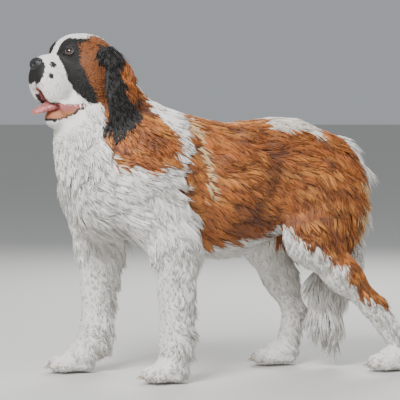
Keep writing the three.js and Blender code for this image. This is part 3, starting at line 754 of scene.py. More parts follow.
        for name, colour in (("rim", self.black), ("lining", self.pink), ("lip", self.gum)):
            made[mouth[name]] = colour

    def mouth(self, p: np.ndarray) -> dict[str, np.ndarray]:
        """Which places lie on the bare parts of the mouth.

        Args:
            p: places, n x 3.

        Returns:
            For the black rim, the pink lining and the lower lip, True for the places on it.
        """
        q = (p - HEAD_AT) @ HEAD_TURN
        u, w = q[:, 0], q[:, 2] + 0.0015 * ripple(p, 0.02, 8)
        gape = self.body.mouth().distance(p)
        back = np.clip((u + 0.080) / 0.062, 0, 1)
        edge = -0.164 + 0.034 * back**1.5
        narrow = (np.abs(q[:, 1]) < 0.066) & (u < -0.010)
        lip = narrow & (w > edge) & (w < edge + 0.022 * (1 - back))
        lining = narrow & ~lip & (w > edge) & (w < -0.121) | (gape < 0.002)
        close = (gape < 0.010) & (w < -0.095) & (w > -0.140) & (u < -0.010)
        below = narrow & (w > edge - 0.007) & (w <= edge)
        corner = np.hypot(u + 0.013, w + 0.126) < 0.010
        return {"rim": close | below | corner, "lining": lining, "lip": lip}

    def bare(self, p: np.ndarray) -> np.ndarray:
        """Which places of the mouth grow no fur.

        Args:
            p: places, n x 3.

        Returns:
            True for those without fur.
        """
        return np.any(list(self.mouth(p).values()), axis=0) | (self.body.mouth().distance(p) < 0.004)


@dataclass(frozen=True)
class Finish:
    """A surface finish: roughness, sheen, coat and grain."""

    name: str
    roughness: float = 0.6
    sheen: float = 0.0
    clear: float = 0.0
    grain: float = 0.0
    grain_size: float = 400
    bump: float = 0.0
    colour: tuple[float, float, float] | None = None

    def material(self) -> bpy.types.Material:
        """Builds the material.

        Returns:
            A Principled material whose colour comes from the piece's Tint unless one is given.
        """
        made = bpy.data.materials.new(self.name)
        made.use_nodes = True
        nodes, links = made.node_tree.nodes, made.node_tree.links
        shader = nodes["Principled BSDF"]
        shader.inputs["Roughness"].default_value = self.roughness
        shader.inputs["Sheen Weight"].default_value = self.sheen
        shader.inputs["Sheen Roughness"].default_value = 0.4
        shader.inputs["Coat Weight"].default_value = self.clear
        shader.inputs["Coat Roughness"].default_value = 0.04
        if self.colour:
            shader.inputs["Base Color"].default_value = (*self.colour, 1)
        grain = nodes.new("ShaderNodeGroup")
        grain.node_tree = grain_group()
        grain.inputs["Scale"].default_value = self.grain_size
        grain.inputs["Amount"].default_value = self.grain
        if not self.colour:
            tint = nodes.new("ShaderNodeAttribute")
            tint.attribute_name = "Tint"
            links.new(tint.outputs["Color"], grain.inputs["Color"])
            links.new(grain.outputs["Color"], shader.inputs["Base Color"])
        if self.bump:
            bump = nodes.new("ShaderNodeBump")
            bump.inputs["Strength"].default_value = self.bump
            bump.inputs["Distance"].default_value = 0.001
            links.new(grain.outputs["Value"], bump.inputs["Height"])
            links.new(bump.outputs["Normal"], shader.inputs["Normal"])
        return made


def grain_group() -> bpy.types.NodeTree:
    """The shared grain: a colour varied by fine noise, and the noise itself.

    Returns:
        The node group, made at the first call.
    """
    if "Grain" in bpy.data.node_groups:
        return bpy.data.node_groups["Grain"]
    group = bpy.data.node_groups.new("Grain", "ShaderNodeTree")
    colour, number = "NodeSocketColor", "NodeSocketFloat"
    for name, kind in (("Color", colour), ("Scale", number), ("Amount", number)):
        group.interface.new_socket(name=name, in_out="INPUT", socket_type=kind)
    for name, kind in (("Color", colour), ("Value", number)):
        group.interface.new_socket(name=name, in_out="OUTPUT", socket_type=kind)
    source, sink = group.nodes.new("NodeGroupInput"), group.nodes.new("NodeGroupOutput")
    places = group.nodes.new("ShaderNodeTexCoord")
    noise = group.nodes.new("ShaderNodeTexNoise")
    dark = group.nodes.new("ShaderNodeMix")
    dark.data_type = "RGBA"
    dark.blend_type = "MULTIPLY"
    group.links.new(places.outputs["Object"], noise.inputs["Vector"])
    group.links.new(source.outputs["Scale"], noise.inputs["Scale"])
    group.links.new(source.outputs["Amount"], dark.inputs[0])
    group.links.new(source.outputs["Color"], dark.inputs[6])
    group.links.new(noise.outputs["Fac"], dark.inputs[7])
    group.links.new(dark.outputs[2], sink.inputs["Color"])
    group.links.new(noise.outputs["Fac"], sink.inputs["Value"])
    return group


@dataclass
class Piece:
    """A mesh on its way into the scene."""

    name: str
    points: np.ndarray
    faces: np.ndarray
    tint: np.ndarray
    finish: Finish
    slot: str
    uv: np.ndarray | None = None
    nodes: tuple[str, ...] = ()

    @property
    def triangles(self) -> int:
        """Number of triangles."""
        return len(self.faces) * (self.faces.shape[1] - 2)

    def add(self, shift: np.ndarray) -> bpy.types.Object:
        """Makes the object and hangs it on the root.

        Args:
            shift: from the working frame to the frame of the solids.

        Returns:
            The object.
        """
        mesh = bpy.data.meshes.new(self.name)
        sides = self.faces.shape[1]
        mesh.vertices.add(len(self.points))
        mesh.vertices.foreach_set("co", (self.points + shift).astype(np.float32).ravel())
        mesh.loops.add(self.faces.size)
        mesh.loops.foreach_set("vertex_index", self.faces.astype(np.int32).ravel())
        mesh.polygons.add(len(self.faces))
        mesh.polygons.foreach_set("loop_start", np.arange(0, self.faces.size, sides, dtype=np.int32))
        mesh.update(calc_edges=True)
        mesh.polygons.foreach_set("use_smooth", np.ones(len(self.faces), bool))
        colour = mesh.color_attributes.new("Tint", "FLOAT_COLOR", "POINT")
        colour.data.foreach_set("color", np.c_[self.tint, np.ones(len(self.tint))].astype(np.float32).ravel())
        if self.uv is not None:
            layer = mesh.uv_layers.new(name="OFBake")
            layer.data.foreach_set("uv", self.uv.astype(np.float32).ravel())
        mesh.materials.append(bpy.data.materials.get(self.finish.name) or self.finish.material())
        made = bpy.data.objects.new(self.name, mesh)
        bpy.context.collection.objects.link(made)
        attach(made, "root")
        if self.nodes:
            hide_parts(*self.nodes)
        return made


SKIN_FINISH = Finish("Skin", roughness=0.7, grain=0.1, grain_size=300)
FUR_FINISH = Finish("Fur", roughness=0.55, sheen=0.08, grain=0.1, grain_size=900)
EYE_FINISH = Finish("Eye", roughness=0.12, clear=1.0)
LID_FINISH = Finish("Lid", roughness=0.35)
NOSE_FINISH = Finish("Nose", roughness=0.38, grain=0.2, grain_size=900, bump=0.8)
TONGUE_FINISH = Finish("Tongue", roughness=0.28, clear=0.4, grain=0.25, grain_size=700, bump=0.5)
CLAW_FINISH = Finish("Claw", roughness=0.4)
FLOOR_FINISH = Finish("Floor", roughness=0.8, colour=(0.62, 0.61, 0.58))


def solid_names() -> list[str]:
    """Names of the solids' nodes.

    Returns:
        The names.
    """
    sides = ("left", "right")
    names = ["torso", "neck", "head", "jaw", "tongue", "nose", "tail_upper", "tail_lower"]
    names += [f"{part}_{s}" for part in ("eye", "ear") for s in sides]
    names += [f"foreleg_{s}_{part}" for s in sides for part in ("upper", "lower", "paw")]
    return names + [f"hindleg_{s}_{part}" for s in sides for part in ("thigh", "shank", "paw")]


def grid(*spans: tuple[float, float, float]) -> np.ndarray:
    """Positions over spans that follow one another, each given by its start, end and step."""
    return np.concatenate([np.arange(*span) for span in spans])


@dataclass
class Skin:
    """The skin of flesh under the coat, and what the coat needs to know of it."""

    body: Body
    coarse: float = 0.008  # grid step on the trunk and the legs
    fine: float = 0.0035  # grid step on the head
    middle: float = 0.005  # grid step across the body's middle and on the paws
    sole: float = 0.0012  # height of the soles over the floor
    probe: float = 0.0015  # step that slopes are measured over
    fray: float = 0.002  # how far the edges of the markings fray
    cell_edge: float = 0.06  # empty share round each cell of the map
    wrap: float = 0.4  # a face that spans more of its cell runs over the seam
    pale_from: float = 0.6  # from this brightness a colour counts as pale
    pale_shade: float = 0.93  # share of a pale colour kept on the skin, as painted shade between the tufts
    dark_shade: float = 0.5  # and of a dark one

    def __post_init__(self) -> None:
        """Joins the masses and meshes their surface."""
        body = self.body
        masses = [(m, False) for m in body.trunk() + body.head()]
        masses.append((body.mouth(), True))
        masses += [(m, False) for m in body.jaw() + body.ears() + body.legs() + body.tail()]
        self.shape = Shape(masses)
        self.masses = [m for m, hollow in masses if not hollow]
        self.across = math.ceil(math.sqrt(len(self.masses)))
        self.points, self.quads = self.shape.surface(self._axes())
        self.points[:, 2] = np.maximum(self.points[:, 2], self.sole)
        self.mass = self.nearest(self.points)
        self.region = np.array([m.region.value for m in self.masses])[self.mass]

    def _axes(self) -> list[np.ndarray]:
        """Grid positions along x, y and z, closer together at the head and the paws.

        Returns:
            The positions along each axis.
        """
        coarse, fine, middle = self.coarse, self.fine, self.middle
        return [
            grid((-0.66, -0.33, fine), (-0.33, 0.57, coarse)),
            grid((-0.25, -0.15, coarse), (-0.15, 0.15, middle), (0.15, 0.25, coarse)),
            grid((-0.02, 0.09, middle), (0.09, 0.71, coarse), (0.71, 1.02, fine)),
        ]

    def nearest(self, p: np.ndarray) -> np.ndarray:
        """Number of the nearest mass, of those near enough to have a share in the skin there.

        Args:
            p: places, n x 3.

        Returns:
            Mass numbers.
        """
        best, which = np.full(len(p), 9.0), np.zeros(len(p), int)
        for i, mass in enumerate(self.masses):
            d = mass.distance(p) + FUR[mass.region].depth
            closer = (d < best) & (d < mass.blend)
            best[closer], which[closer] = d[closer], i
        return which

    def normals(self, p: np.ndarray) -> np.ndarray:
        """Outward directions of the surface.

        Args:
            p: places, n x 3.

        Returns:
            Unit vectors.
        """
        steps = np.eye(3) * self.probe
        slopes = [self.shape.distance(p + step) - self.shape.distance(p - step) for step in steps]
        return unit(np.stack(slopes, -1))

    def atlas(self, p: np.ndarray, mass: np.ndarray) -> np.ndarray:
        """Places on the unwrapped skin, one cell of the map for each mass.

        Args:
            p: places, n x 3.
            mass: mass number of each place.

        Returns:
            Map coordinates, n x 2.
        """
        made = np.zeros((len(p), 2))
        for i, body in enumerate(self.masses):
            chosen = mass == i
            if chosen.any():
                cell = np.array([i % self.across, i // self.across])
                inner = (1 - 2 * self.cell_edge) * body.unwrap(p[chosen])
                made[chosen] = (cell + self.cell_edge + inner) / self.across
        return made

    def piece(self, markings: Markings) -> Piece:
        """The skin as a piece.

        Args:
            markings: colours by place.

        Returns:
            The piece.
        """
        tint = markings.colours(self.points, self.region, self.fray)
        # Outside the bare mouth the skin is darkened: painted shade deep between the tufts
        outer = ~markings.bare(self.points)
        pale = tint[outer].max(1) > self.pale_from
        tint[outer] *= np.where(pale, self.pale_shade, self.dark_shade)[:, None]
        mass = np.repeat(self.mass[self.quads[:, 0]], 4)
        corner = self.atlas(self.points[self.quads.ravel()], mass).reshape(-1, 4, 2)
        wraps = np.ptp(corner[:, :, 1], axis=1) > self.wrap / self.across
        corner[wraps, :, 1] = corner[wraps, :1, 1]
        flesh = [n for n in solid_names() if not n.startswith(("eye", "nose", "tongue"))]
        uv = corner.reshape(-1, 2)
        return Piece("skin", self.points, self.quads, tint, SKIN_FINISH, "coat", uv, tuple(flesh))


@dataclass(frozen=True)
class Strand:
    """Sections of a tuft with the tip last: their place along it, their width, and their shade on dark and on
    pale coats: painted shade at the root, painted light at the tip.
    """

    steps: tuple[float, ...]
    widths: tuple[float, ...]
    dark: tuple[float, ...]
    pale: tuple[float, ...]

    @property
    def triangles(self) -> int:
        """Number of triangles of a tuft."""
        return 6 * len(self.steps) - 2

    def faces(self) -> np.ndarray:
        """Triangles of one tuft: the root's end, the sides between its sections and the tip.

        Returns:
            Corner numbers, n x 3.
        """
        last = 3 * (len(self.steps) - 1)
        made = [(2, 1, 0)]
        for ring in range(0, last, 3):
            for i in range(3):
                j = (i + 1) % 3
                made += [(ring + i, ring + j, ring + 3 + j), (ring + i, ring + 3 + j, ring + 3 + i)]
        return np.array(made + [(last + i, last + (i + 1) % 3, last + 3) for i in range(3)])


# Shades rise from painted shade at the roots to painted light at the tips
LONG = Strand((0.0, 0.36, 0.72), (0.75, 0.95, 0.58), (0.42, 0.86, 1.10, 1.32), (0.88, 0.97, 1.02, 1.05))
SHORT = Strand((0.0, 0.55), (0.80, 0.80), (0.50, 0.98, 1.25), (0.92, 0.99, 1.03))


@dataclass
class Tufts:
    """Tufts as arrays with a row for each: where they are rooted, how they lie and their colour."""

    roots: np.ndarray
    normals: np.ndarray
    lie: np.ndarray
    side: np.ndarray
    length: np.ndarray
    width: np.ndarray
    lift: np.ndarray
    tint: np.ndarray
    wave: np.ndarray
    uv: np.ndarray
    pull: np.ndarray

    def part(self, numbers: np.ndarray) -> "Tufts":
        """The tufts with the given numbers."""
        return Tufts(*(getattr(self, f.name)[numbers] for f in fields(self)))

    def centre(self, s: float) -> np.ndarray:
        """Middles of the sections at a share of the tufts' length.

        Args:
            s: the share.

        Returns:
            Places, n x 3.
        """
        reach = (self.length * s * np.cos(self.lift))[:, None] * self.lie
        rise = (self.length * np.sin(self.lift) * s * (1 - 0.62 * s) - ROOT_SINK)[:, None] * self.normals
        sway = (0.06 * self.length * np.sin(5 * s + self.wave) * s)[:, None] * self.side
        drop = (0.10 * self.length * s * s)[:, None] * np.array([0, 0, -1])
        return self.roots + reach + rise + sway + drop + s * s * self.pull


@dataclass
class Coat:
    """Tufts rooted on the skin that follow its lie."""

    skin: Skin
    markings: Markings
    eyes: list[np.ndarray]
    share: float = 1.0  # part of the full number of triangles
    triangles: int = 1_450_000
    piece_triangles: int = 190_000
    clump: int = 10  # tufts that lean together
    patch: float = 0.003  # size of a tuft on the bake map
    fray: float = 0.006  # how far the edges of the markings fray
    clearance: float = 0.004  # most that a tuft is held over its root's depth, where the skin bends
    sole: float = 0.006  # no tuft is rooted lower
    floor: float = 0.001  # no tuft hangs lower
    claw_margin: float = 0.008
    eye_margin: float = 0.0175
    nose_margin: float = 0.033
    nose_at: tuple[float, ...] = (-0.130, 0, -0.012)
    lips_at: tuple[float, ...] = (-0.050, 0, -0.140)
    lips_reach: float = 0.045  # tufts are shortest up to here from the lips
    belly_from: float = 0.52  # the belly's coat grows longer below this height
    belly_over: float = 0.12
    belly_extra: float = 0.25
    thickness: float = 0.26  # of a tuft, as a share of its width
    most: float = 0.92  # brightest colour

    def seeds(self) -> tuple[np.ndarray, np.ndarray]:
        """Random roots on the skin.

        Returns:
            Places and region numbers.
        """
        skin = self.skin
        tris = np.concatenate([skin.quads[:, :3], skin.quads[:, [0, 2, 3]]])
        a, b, c = (skin.points[tris[:, i]] for i in range(3))
        regions = skin.region[tris[:, 0]]
        wanted = np.linalg.norm(np.cross(b - a, c - a), axis=1) / 2 * of_fur("density", regions)
        cost = (wanted * np.where(among(regions, LONG_REGIONS), LONG.triangles, SHORT.triangles)).sum()
        wanted *= self.share * self.triangles / cost
        count = np.floor(wanted + RNG.random(len(wanted))).astype(int)
        which = np.repeat(np.arange(len(tris)), count)
        u, v = RNG.random(len(which)), RNG.random(len(which))
        over = u + v > 1
        u[over], v[over] = 1 - u[over], 1 - v[over]
        places = a[which] + u[:, None] * (b - a)[which] + v[:, None] * (c - a)[which]
        keep = self._furred(places)
        return places[keep], regions[which][keep]

    def _furred(self, places: np.ndarray) -> np.ndarray:
        """Which places grow fur: none of the mouth, soles, claws, nose and eyes.

        Args:
            places: places on the skin, n x 3.

        Returns:
            True for those with fur.
        """
        keep = ~self.markings.bare(places) & (places[:, 2] > self.sole)
        bare = [(np.add(foot, (x - 0.004, y, -0.012)), self.claw_margin) for foot in FEET for x, y in CLAWS]
        bare.append((on_head(*self.nose_at), self.nose_margin))
        bare += [(eye, self.eye_margin) for eye in self.eyes]
        for at, margin in bare:
            keep &= np.linalg.norm(places - at, axis=1) > margin
        return keep

    def leaders(self, roots: np.ndarray) -> np.ndarray:
        """For each tuft, the tuft that its clump leans towards.

        Args:
            roots: places of the tufts.

        Returns:
            Tuft numbers.
        """
        chosen = RNG.choice(len(roots), len(roots) // self.clump, replace=False)
        tree = KDTree(len(chosen))
        for i in chosen:
            tree.insert(roots[i], i)
        tree.balance()
        return np.array([tree.find(p)[1] for p in roots])

    def pieces(self) -> list[Piece]:
        """All the tufts, in several pieces.

        Returns:
            The pieces.
        """
        roots, regions = self.seeds()
        LOG.info("tufts by region: %s", np.bincount(regions))
        tufts = self._laid(roots, regions)
        long = among(regions, LONG_REGIONS)
        made = []
        for kind, strand, chosen in (("long", LONG, long), ("short", SHORT, ~long)):
            numbers = np.flatnonzero(chosen)
            share = self.piece_triangles // strand.triangles
            for start in range(0, len(numbers), share):
                part = tufts.part(numbers[start : start + share])
                made.append(self._piece(f"coat_{kind}_{start // share}", strand, part))
        return made

    def _laid(self, roots: np.ndarray, regions: np.ndarray) -> Tufts:
        """Gives each root its direction, size and colour.

        Args:
            roots: places on the skin, n x 3.
            regions: region number of each root.

        Returns:
            The tufts.
        """
        n = len(roots)
        normals = self.skin.normals(roots)
        lie = np.array([FUR[r].lie for r in Region], float)[regions]
        facial = among(regions, FACE_REGIONS)
        lie[facial] = lie[facial] @ HEAD_TURN.T
        lie[:, 1] += 0.25 * np.sign(roots[:, 1]) * among(regions, (Region.TORSO,)) * (normals[:, 2] > 0.5)
        side = np.cross(normals, lie)
        leader = self.leaders(roots)
        swirl = (0.42 * ripple(roots, 0.09, 21) + RNG.normal(0, 0.10, n))[leader]
        swirl += RNG.normal(0, 0.04, n)
        lie = unit(lie - (lie * normals).sum(1, keepdims=True) * normals)
        lie = unit(lie + swirl[:, None] * unit(side))
        length = self._lengths(roots, regions, normals)
        width = of_fur("width", regions) * RNG.uniform(0.75, 1.25, n)
        lift = np.radians(of_fur("lift", regions)) * (1 + 0.3 * RNG.uniform(-1, 1, n))[leader]
        tint = self.markings.colours(roots, regions, self.fray)
        own, shared = RNG.uniform(0.88, 1.10, n), RNG.uniform(0.82, 1.14, n)[leader]
        tint *= (own * shared)[:, None]
        wave = RNG.uniform(0, 0.5, n) + 6.28 * RNG.random(n)[leader]
        pull = roots[leader] - roots
        pull *= np.minimum(1, 0.4 * length / np.maximum(np.linalg.norm(pull, axis=1), 1e-6))[:, None]
        pull *= np.where(facial, 0.3, 0.75)[:, None]
        uv = self.skin.atlas(roots, self.skin.nearest(roots))
        side = unit(np.cross(normals, lie))
        return Tufts(roots, normals, lie, side, length, width, lift, tint, wave, uv, pull)

    def _lengths(self, roots: np.ndarray, regions: np.ndarray, normals: np.ndarray) -> np.ndarray:
        """Lengths of the tufts: longer behind and on the belly, shorter by the lips, the ears and the floor.

        Args:
            roots: places on the skin, n x 3.
            regions: region number of each root.
            normals: outward direction at each root.

        Returns:
            The lengths.
        """
        behind = np.clip(0.5 + 0.9 * normals[:, 0], 0, 1) ** 1.5
        front, rear = of_fur("front", regions), of_fur("rear", regions)
        low = np.clip((self.belly_from - roots[:, 2]) / self.belly_over, 0, 1)
        low *= among(regions, (Region.TORSO,))
        length = front + (rear - front) * behind
        length *= (1 + self.belly_extra * low) * RNG.uniform(0.75, 1.2, len(roots))
        gap = np.linalg.norm(roots - on_head(*self.lips_at), axis=1)
        length = np.minimum(length, 0.008 + 0.45 * np.clip(gap - self.lips_reach, 0, 1))
        ear = np.min([m.distance(roots) for m in self.skin.body.ears()], axis=0)
        beside = np.minimum(length, 0.010 + 0.8 * np.clip(ear, 0, 1))
        length = np.where(among(regions, (Region.EAR,)), length, beside)
        return np.where(roots[:, 2] < 0.10, np.minimum(length, 0.5 * roots[:, 2] + 0.008), length)

    def _cleared(self, tufts: Tufts, s: float) -> np.ndarray:
        """Middles of the sections, moved out where they would sink in the skin, as between ear and neck.

        Args:
            tufts: the tufts.
            s: share of the length.

        Returns:
            Places, n x 3.
        """
        p = tufts.centre(s)
        wanted = np.minimum(self.clearance, 0.1 * tufts.length) * min(1, 2 * s) - ROOT_SINK
        sunk = np.maximum(0, wanted - self.skin.shape.distance(p))
        return p + 1.15 * sunk[:, None] * tufts.normals

    def _piece(self, name: str, strand: Strand, tufts: Tufts) -> Piece:
        """Meshes tufts.

        Args:
            name: name of the piece.
            strand: sections of each tuft.
            tufts: the tufts.

        Returns:
            The piece.
        """
        rings = []
        for s, wide in zip(strand.steps, strand.widths):
            centre = self._cleared(tufts, s)
            half = (wide * tufts.width / 2)[:, None] * tufts.side
            up = (wide * tufts.width * self.thickness)[:, None] * unit(tufts.normals + 0.3 * tufts.lie)
            rings += [centre - half - 0.5 * up, centre + half - 0.5 * up, centre + up]
        points = np.stack([*rings, self._cleared(tufts, 1.0)], 1)
        points[:, :, 2] = np.maximum(points[:, :, 2], self.floor)
        counts = [3] * len(strand.steps) + [1]
        # Painted shade at the roots and painted light at the tips, milder on pale coats
        pale = np.clip((tufts.tint.max(1) - 0.5) / 0.25, 0, 1)[:, None]
        shades = np.repeat(pale * np.array(strand.pale) + (1 - pale) * np.array(strand.dark), counts, axis=1)
        tint = np.clip(tufts.tint[:, None, :] * shades[:, :, None], 0, self.most).reshape(-1, 3)
        along = np.repeat([*strand.steps, 1.0], counts) - 0.5
        across = np.array([-0.5, 0.5, 0] * len(strand.steps) + [0])
        faces = strand.faces()
        patch = np.stack([across, along], 1) * self.patch
        uv = (tufts.uv[:, None, :] + patch[faces.ravel()][None]).reshape(-1, 2)
        first = points.shape[1] * np.arange(len(points))[:, None, None]
        joined = (faces + first).reshape(-1, 3)
        return Piece(name, points.reshape(-1, 3), joined, tint, FUR_FINISH, "coat", uv)


def turns(count: int) -> np.ndarray:
    """Angles in even steps round a circle."""
    return np.arange(count) * 2 * math.pi / count


def ring_quads(rings: int, around: int, closed: bool = False) -> np.ndarray:
    """Quads between neighbouring rings of points.

    Args:
        rings: number of rings.
        around: number of points in each.
        closed: whether the last ring joins the first.

    Returns:
        Corner numbers, n x 4.
    """
    i, j = np.meshgrid(np.arange(rings if closed else rings - 1), np.arange(around), indexing="ij")
    here, ahead = i.ravel() * around, (i.ravel() + 1) % rings * around
    beside = (j.ravel() + 1) % around
    return np.stack([here + j.ravel(), ahead + j.ravel(), ahead + beside, here + beside], 1)


def sphere(around: int, rings: int) -> tuple[np.ndarray, np.ndarray]:
    """A unit sphere of quads about Z.

    Args:
        around, rings: number of sides and of rings.

    Returns:
        Points and faces.
    """
    t = (np.arange(rings) + 0.02) * math.pi / (rings - 0.96)
    wide, a = np.sin(t), turns(around)
    high = np.outer(np.cos(t), np.ones(around))
    points = np.stack([np.outer(wide, np.cos(a)), np.outer(wide, np.sin(a)), high], -1)
    return points.reshape(-1, 3), ring_quads(rings, around)


@dataclass
class Face:
    """Eyes with their lids, nose and tongue."""

    body: Body
    eye_radius: float = 0.0125
    eye_proud: float = 0.0042  # how far an eyeball stands out of the head
    eye_towards: tuple[float, ...] = (-0.047, 0.050, 0.024)
    pupil: float = 24  # degrees from the eye's axis to the edge of the pupil
    iris: float = 56
    iris_rim: float = 62
    lid_reach: float = 0.0118
    lid_thickness: float = 0.0022
    lid_out: float = 0.0052
    lid_narrow: float = 0.82
    nostril: tuple[float, ...] = (-0.1465, 0.013, -0.013)
    nose_step: float = 0.0014  # grid steps
    tongue_step: float = 0.002
    tongue_colour: tuple[float, ...] = (0.62, 0.20, 0.19)

    def __post_init__(self) -> None:
        """Finds the middle and the direction of each eye."""
        self.eyes = [self._eye_at(s) for s in SIDES]

    def _eye_at(self, s: int) -> tuple[np.ndarray, np.ndarray]:
        """Sets an eye in the head, seen from the head's middle.

        Args:
            s: -1 for the left eye, 1 for the right.

        Returns:
            Its middle and its direction.
        """
        way = unit(HEAD_TURN @ (np.array(self.eye_towards) * [1, s, 1]))
        shape = Shape([(m, False) for m in self.body.head()], inset=False)
        low, high = 0.02, 0.2
        for _ in range(30):
            middle = (low + high) / 2
            inside = shape.distance((HEAD_AT + way * middle)[None])[0] < 0
            low, high = (middle, high) if inside else (low, middle)
        return HEAD_AT + way * (low + self.eye_proud - self.eye_radius), way

    def pieces(self) -> list[Piece]:
        """Builds the face's pieces.

        Returns:
            The pieces.
        """
        made = []
        for name, (centre, way) in zip(("left", "right"), self.eyes):
            made += [self._eyeball(name, centre, way), self._lid(name, centre, way)]
        return made + [self._nose(), self._tongue()]

    def _eyeball(self, name: str, centre: np.ndarray, way: np.ndarray) -> Piece:
        """An eyeball with its pupil, iris and white.

        Args:
            name: left or right.
            centre: its middle.
            way: its direction.

        Returns:
            The piece.
        """
        points, faces = sphere(48, 32)
        out = points @ np.array(Vector((0, 0, 1)).rotation_difference(Vector(way)).to_matrix()).T
        angle = np.degrees(np.arccos(np.clip(points[:, 2], -1, 1)))[:, None]
        tint = np.select(
            [angle < self.pupil, angle < self.iris, angle < self.iris_rim],
            [np.full((1, 3), 0.003), np.array([[0.035, 0.012, 0.004]]), np.array([[0.012, 0.006, 0.004]])],
            np.array([[0.040, 0.026, 0.022]]),
        )
        place = centre + self.eye_radius * out
        return Piece(f"eye_ball_{name}", place, faces, tint, EYE_FINISH, "eye", nodes=(f"eye_{name}",))

    def _lid(self, name: str, centre: np.ndarray, way: np.ndarray) -> Piece:
        """The dark rim of both lids.

        Args:
            name: left or right.
            centre: middle of the eyeball.
            way: its direction.

        Returns:
            The piece.
        """
        around, thick = 40, 10
        a, b = np.meshgrid(turns(around), turns(thick), indexing="ij")
        reach = self.lid_reach + self.lid_thickness * np.cos(b)
        out = self.lid_thickness * np.sin(b) + self.lid_out
        local = np.stack([reach * np.cos(a) * self.lid_narrow, reach * np.sin(a), out], -1).reshape(-1, 3)
        right = unit(np.cross([0, 0, 1.0], way))
        points = centre + local @ np.stack([np.cross(way, right), right, way])
        faces = ring_quads(around, thick, closed=True)[:, FLIPPED]
        return Piece(f"lid_{name}", points, faces, np.full((len(points), 3), 0.012), LID_FINISH, "dark_coat")

    def _nose(self) -> Piece:
        """The nose with its nostrils and the groove between them.

        Returns:
            The piece.
        """
        x, y, z = self.nostril
        m = Region.MUZZLE
        shape = [(head_ball(m, NOSE_AT, (0.0225, 0.030, 0.021), 0.008), False)]
        shape += [(head_ball(m, (x, y * s, z), (0.009, 0.0055, 0.005), 0.004), True) for s in SIDES]
        shape.append((head_ball(m, (-0.148, 0, -0.024), (0.005, 0.0012, 0.016), 0.004), True))
        axes = [grid((c - 0.04, c + 0.04, self.nose_step)) for c in on_head(*NOSE_AT)]
        points, faces = Shape(shape, inset=False).surface(axes)
        tint = np.full((len(points), 3), 0.014)
        return Piece("nose_leather", points, faces, tint, NOSE_FINISH, "nose", nodes=("nose",))

    def _tongue(self) -> Piece:
        """The tongue with the furrow along its middle.

        Returns:
            The piece.
        """
        j = Region.JAW
        shape = [
            (head_limb(j, (0.0, 0, -0.118), (-0.085, 0, -0.128), (0.016, 0.013), 0.008, 2.2), False),
            (head_limb(j, (-0.085, 0, -0.128), (-0.128, 0, -0.146), (0.013, 0.009), 0.008, 2.4), False),
            (head_limb(j, (-0.02, 0, -0.098), (-0.135, 0, -0.134), (0.004, 0.003), 0.010), True),
        ]
        spans = ((-0.62, -0.42), (-0.08, 0.08), (0.74, 0.82))
        axes = [grid((low, high, self.tongue_step)) for low, high in spans]
        points, faces = Shape(shape, inset=False).surface(axes)
        tint = np.array(self.tongue_colour) * (0.85 + 0.15 * ripple(points, 0.02, 31))[:, None]
        return Piece("tongue_body", points, faces, tint, TONGUE_FINISH, "tongue", nodes=("tongue",))


@dataclass
class Feet:
    """Claws on the four paws."""

    radius: float = 0.0042
    narrow: float = 0.8  # width of a claw against its height
    taper: float = 0.93
    length: float = 0.029
    root: tuple[float, float] = (0.008, 0.004)
    drop: float = 0.010
    down: float = -0.012  # from a foot's middle
    colour: tuple[float, ...] = (0.42, 0.33, 0.24)

    def pieces(self) -> list[Piece]:
        """Builds the claws, one piece for each paw.

        Returns:
            The pieces.
        """
        names = ("fore_left", "fore_right", "hind_left", "hind_right")
        return [self._claws(name, np.array(foot)) for name, foot in zip(names, FEET)]

    def _claws(self, name: str, foot: np.ndarray) -> Piece:
        """The four claws of a paw.

        Args:
            name: the foot's name.
            foot: its middle.

        Returns:
            The piece.
        """
        around, rings = 12, 8
        s, a = np.linspace(0, 1, rings)[:, None], turns(around)[None]
        radius = self.radius * (1 - self.taper * s**1.5)
        x = self.root[0] - self.length * s + 0 * a
        z = self.root[1] - self.drop * s**1.6 + radius * np.sin(a)
        cone = np.stack([x, radius * self.narrow * np.cos(a), z], -1).reshape(-1, 3)
        joined = np.concatenate([cone + foot + [u, v, self.down] for u, v in CLAWS])
        joined[:, 2] = np.maximum(joined[:, 2], 0.001)
        quads = ring_quads(rings, around)[:, FLIPPED]
        faces = np.concatenate([quads + i * len(cone) for i in range(len(CLAWS))])
        tint = np.tile(self.colour, (len(joined), 1)) * (0.9 + 0.1 * ripple(joined, 0.01, 41))[:, None]
        return Piece(f"claws_{name}", joined, faces, tint, CLAW_FINISH, "claw")


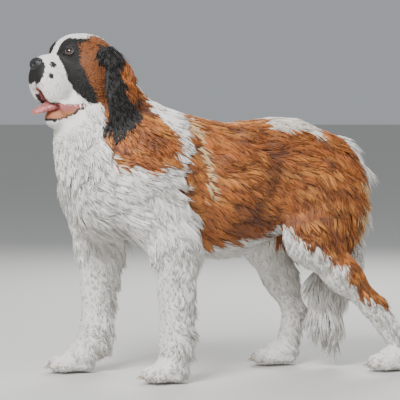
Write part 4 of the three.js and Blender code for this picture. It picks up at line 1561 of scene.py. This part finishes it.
@dataclass
class Studio:
    """Camera, floor and soft lights."""

    shift: np.ndarray
    camera_at: tuple[float, ...] = (-1.8755, -5.1851, 0.7762)
    camera_turn: float = 19.0
    camera_pitch: float = 2.754
    lens: float = 168.38
    sensor: float = 36
    floor_half: float = 300
    look_at: tuple[float, ...] = (0, 0, 0.5)
    sky: tuple[float, ...] = (0.80, 0.84, 0.88, 1)
    sky_strength: float = 0.45
    # Name, place, size and power of each light
    lights: tuple[tuple, ...] = (
        ("Key", (-2.4, -2.6, 3.4), 1.9, 340),
        ("Fill", (2.6, -3.4, 1.8), 3.0, 60),
        ("Rim", (1.6, 3.0, 2.8), 2.0, 140),
    )

    def build(self) -> None:
        """Adds everything."""
        self._camera()
        self._floor()
        for light in self.lights:
            self._light(*light)
        world = bpy.data.worlds.new("Studio")
        world.use_nodes = True
        world.node_tree.nodes["Background"].inputs["Color"].default_value = self.sky
        world.node_tree.nodes["Background"].inputs["Strength"].default_value = self.sky_strength
        bpy.context.scene.world = world

    def _camera(self) -> None:
        """Adds the camera at the photograph's viewing angle."""
        made = bpy.data.objects.new("Camera", bpy.data.cameras.new("Camera"))
        bpy.context.collection.objects.link(made)
        made.data.lens = self.lens
        made.data.sensor_width = self.sensor
        made.data.clip_start, made.data.clip_end = 0.1, 100
        made.location = Vector(np.array(self.camera_at) + self.shift)
        made.rotation_euler = (math.radians(90 - self.camera_pitch), 0, -math.radians(self.camera_turn))
        bpy.context.scene.camera = made

    def _floor(self) -> None:
        """Adds the pale floor."""
        mesh = bpy.data.meshes.new("Floor")
        half = self.floor_half
        corners = [(-half, -half, 0), (half, -half, 0), (half, half, 0), (-half, half, 0)]
        mesh.from_pydata(corners, [], [(0, 1, 2, 3)])
        made = bpy.data.objects.new("Floor", mesh)
        mesh.materials.append(FLOOR_FINISH.material())
        bpy.context.collection.objects.link(made)

    def _light(self, name: str, at: tuple[float, ...], size: float, power: float) -> None:
        """Adds a soft light that faces the dog.

        Args:
            name: its name.
            at: its place.
            size, power: its width in metres and its power in watts.
        """
        light = bpy.data.lights.new(name, "AREA")
        light.size, light.energy = size, power
        made = bpy.data.objects.new(name, light)
        made.location = at
        made.rotation_euler = (Vector(self.look_at) - Vector(at)).to_track_quat("-Z", "Y").to_euler()
        bpy.context.collection.objects.link(made)


def main() -> None:
    """Measures the solids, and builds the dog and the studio."""
    logging.basicConfig(level=logging.INFO, format="%(message)s")
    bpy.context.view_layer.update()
    body = Body()
    skin = Skin(body)
    face = Face(body)
    markings = Markings(body)
    eyes = [centre for centre, _ in face.eyes]
    coat = Coat(skin, markings, eyes, share=1.0)
    eye_low, eye_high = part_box("eye_left")
    shift = np.array((eye_low + eye_high) / 2) - eyes[0]
    for piece in [skin.piece(markings), *coat.pieces(), *face.pieces(), *Feet().pieces()]:
        piece.add(shift)
        LOG.info("%s: %d triangles", piece.name, piece.triangles)
    Studio(shift).build()


if __name__ == "__main__":
    main()
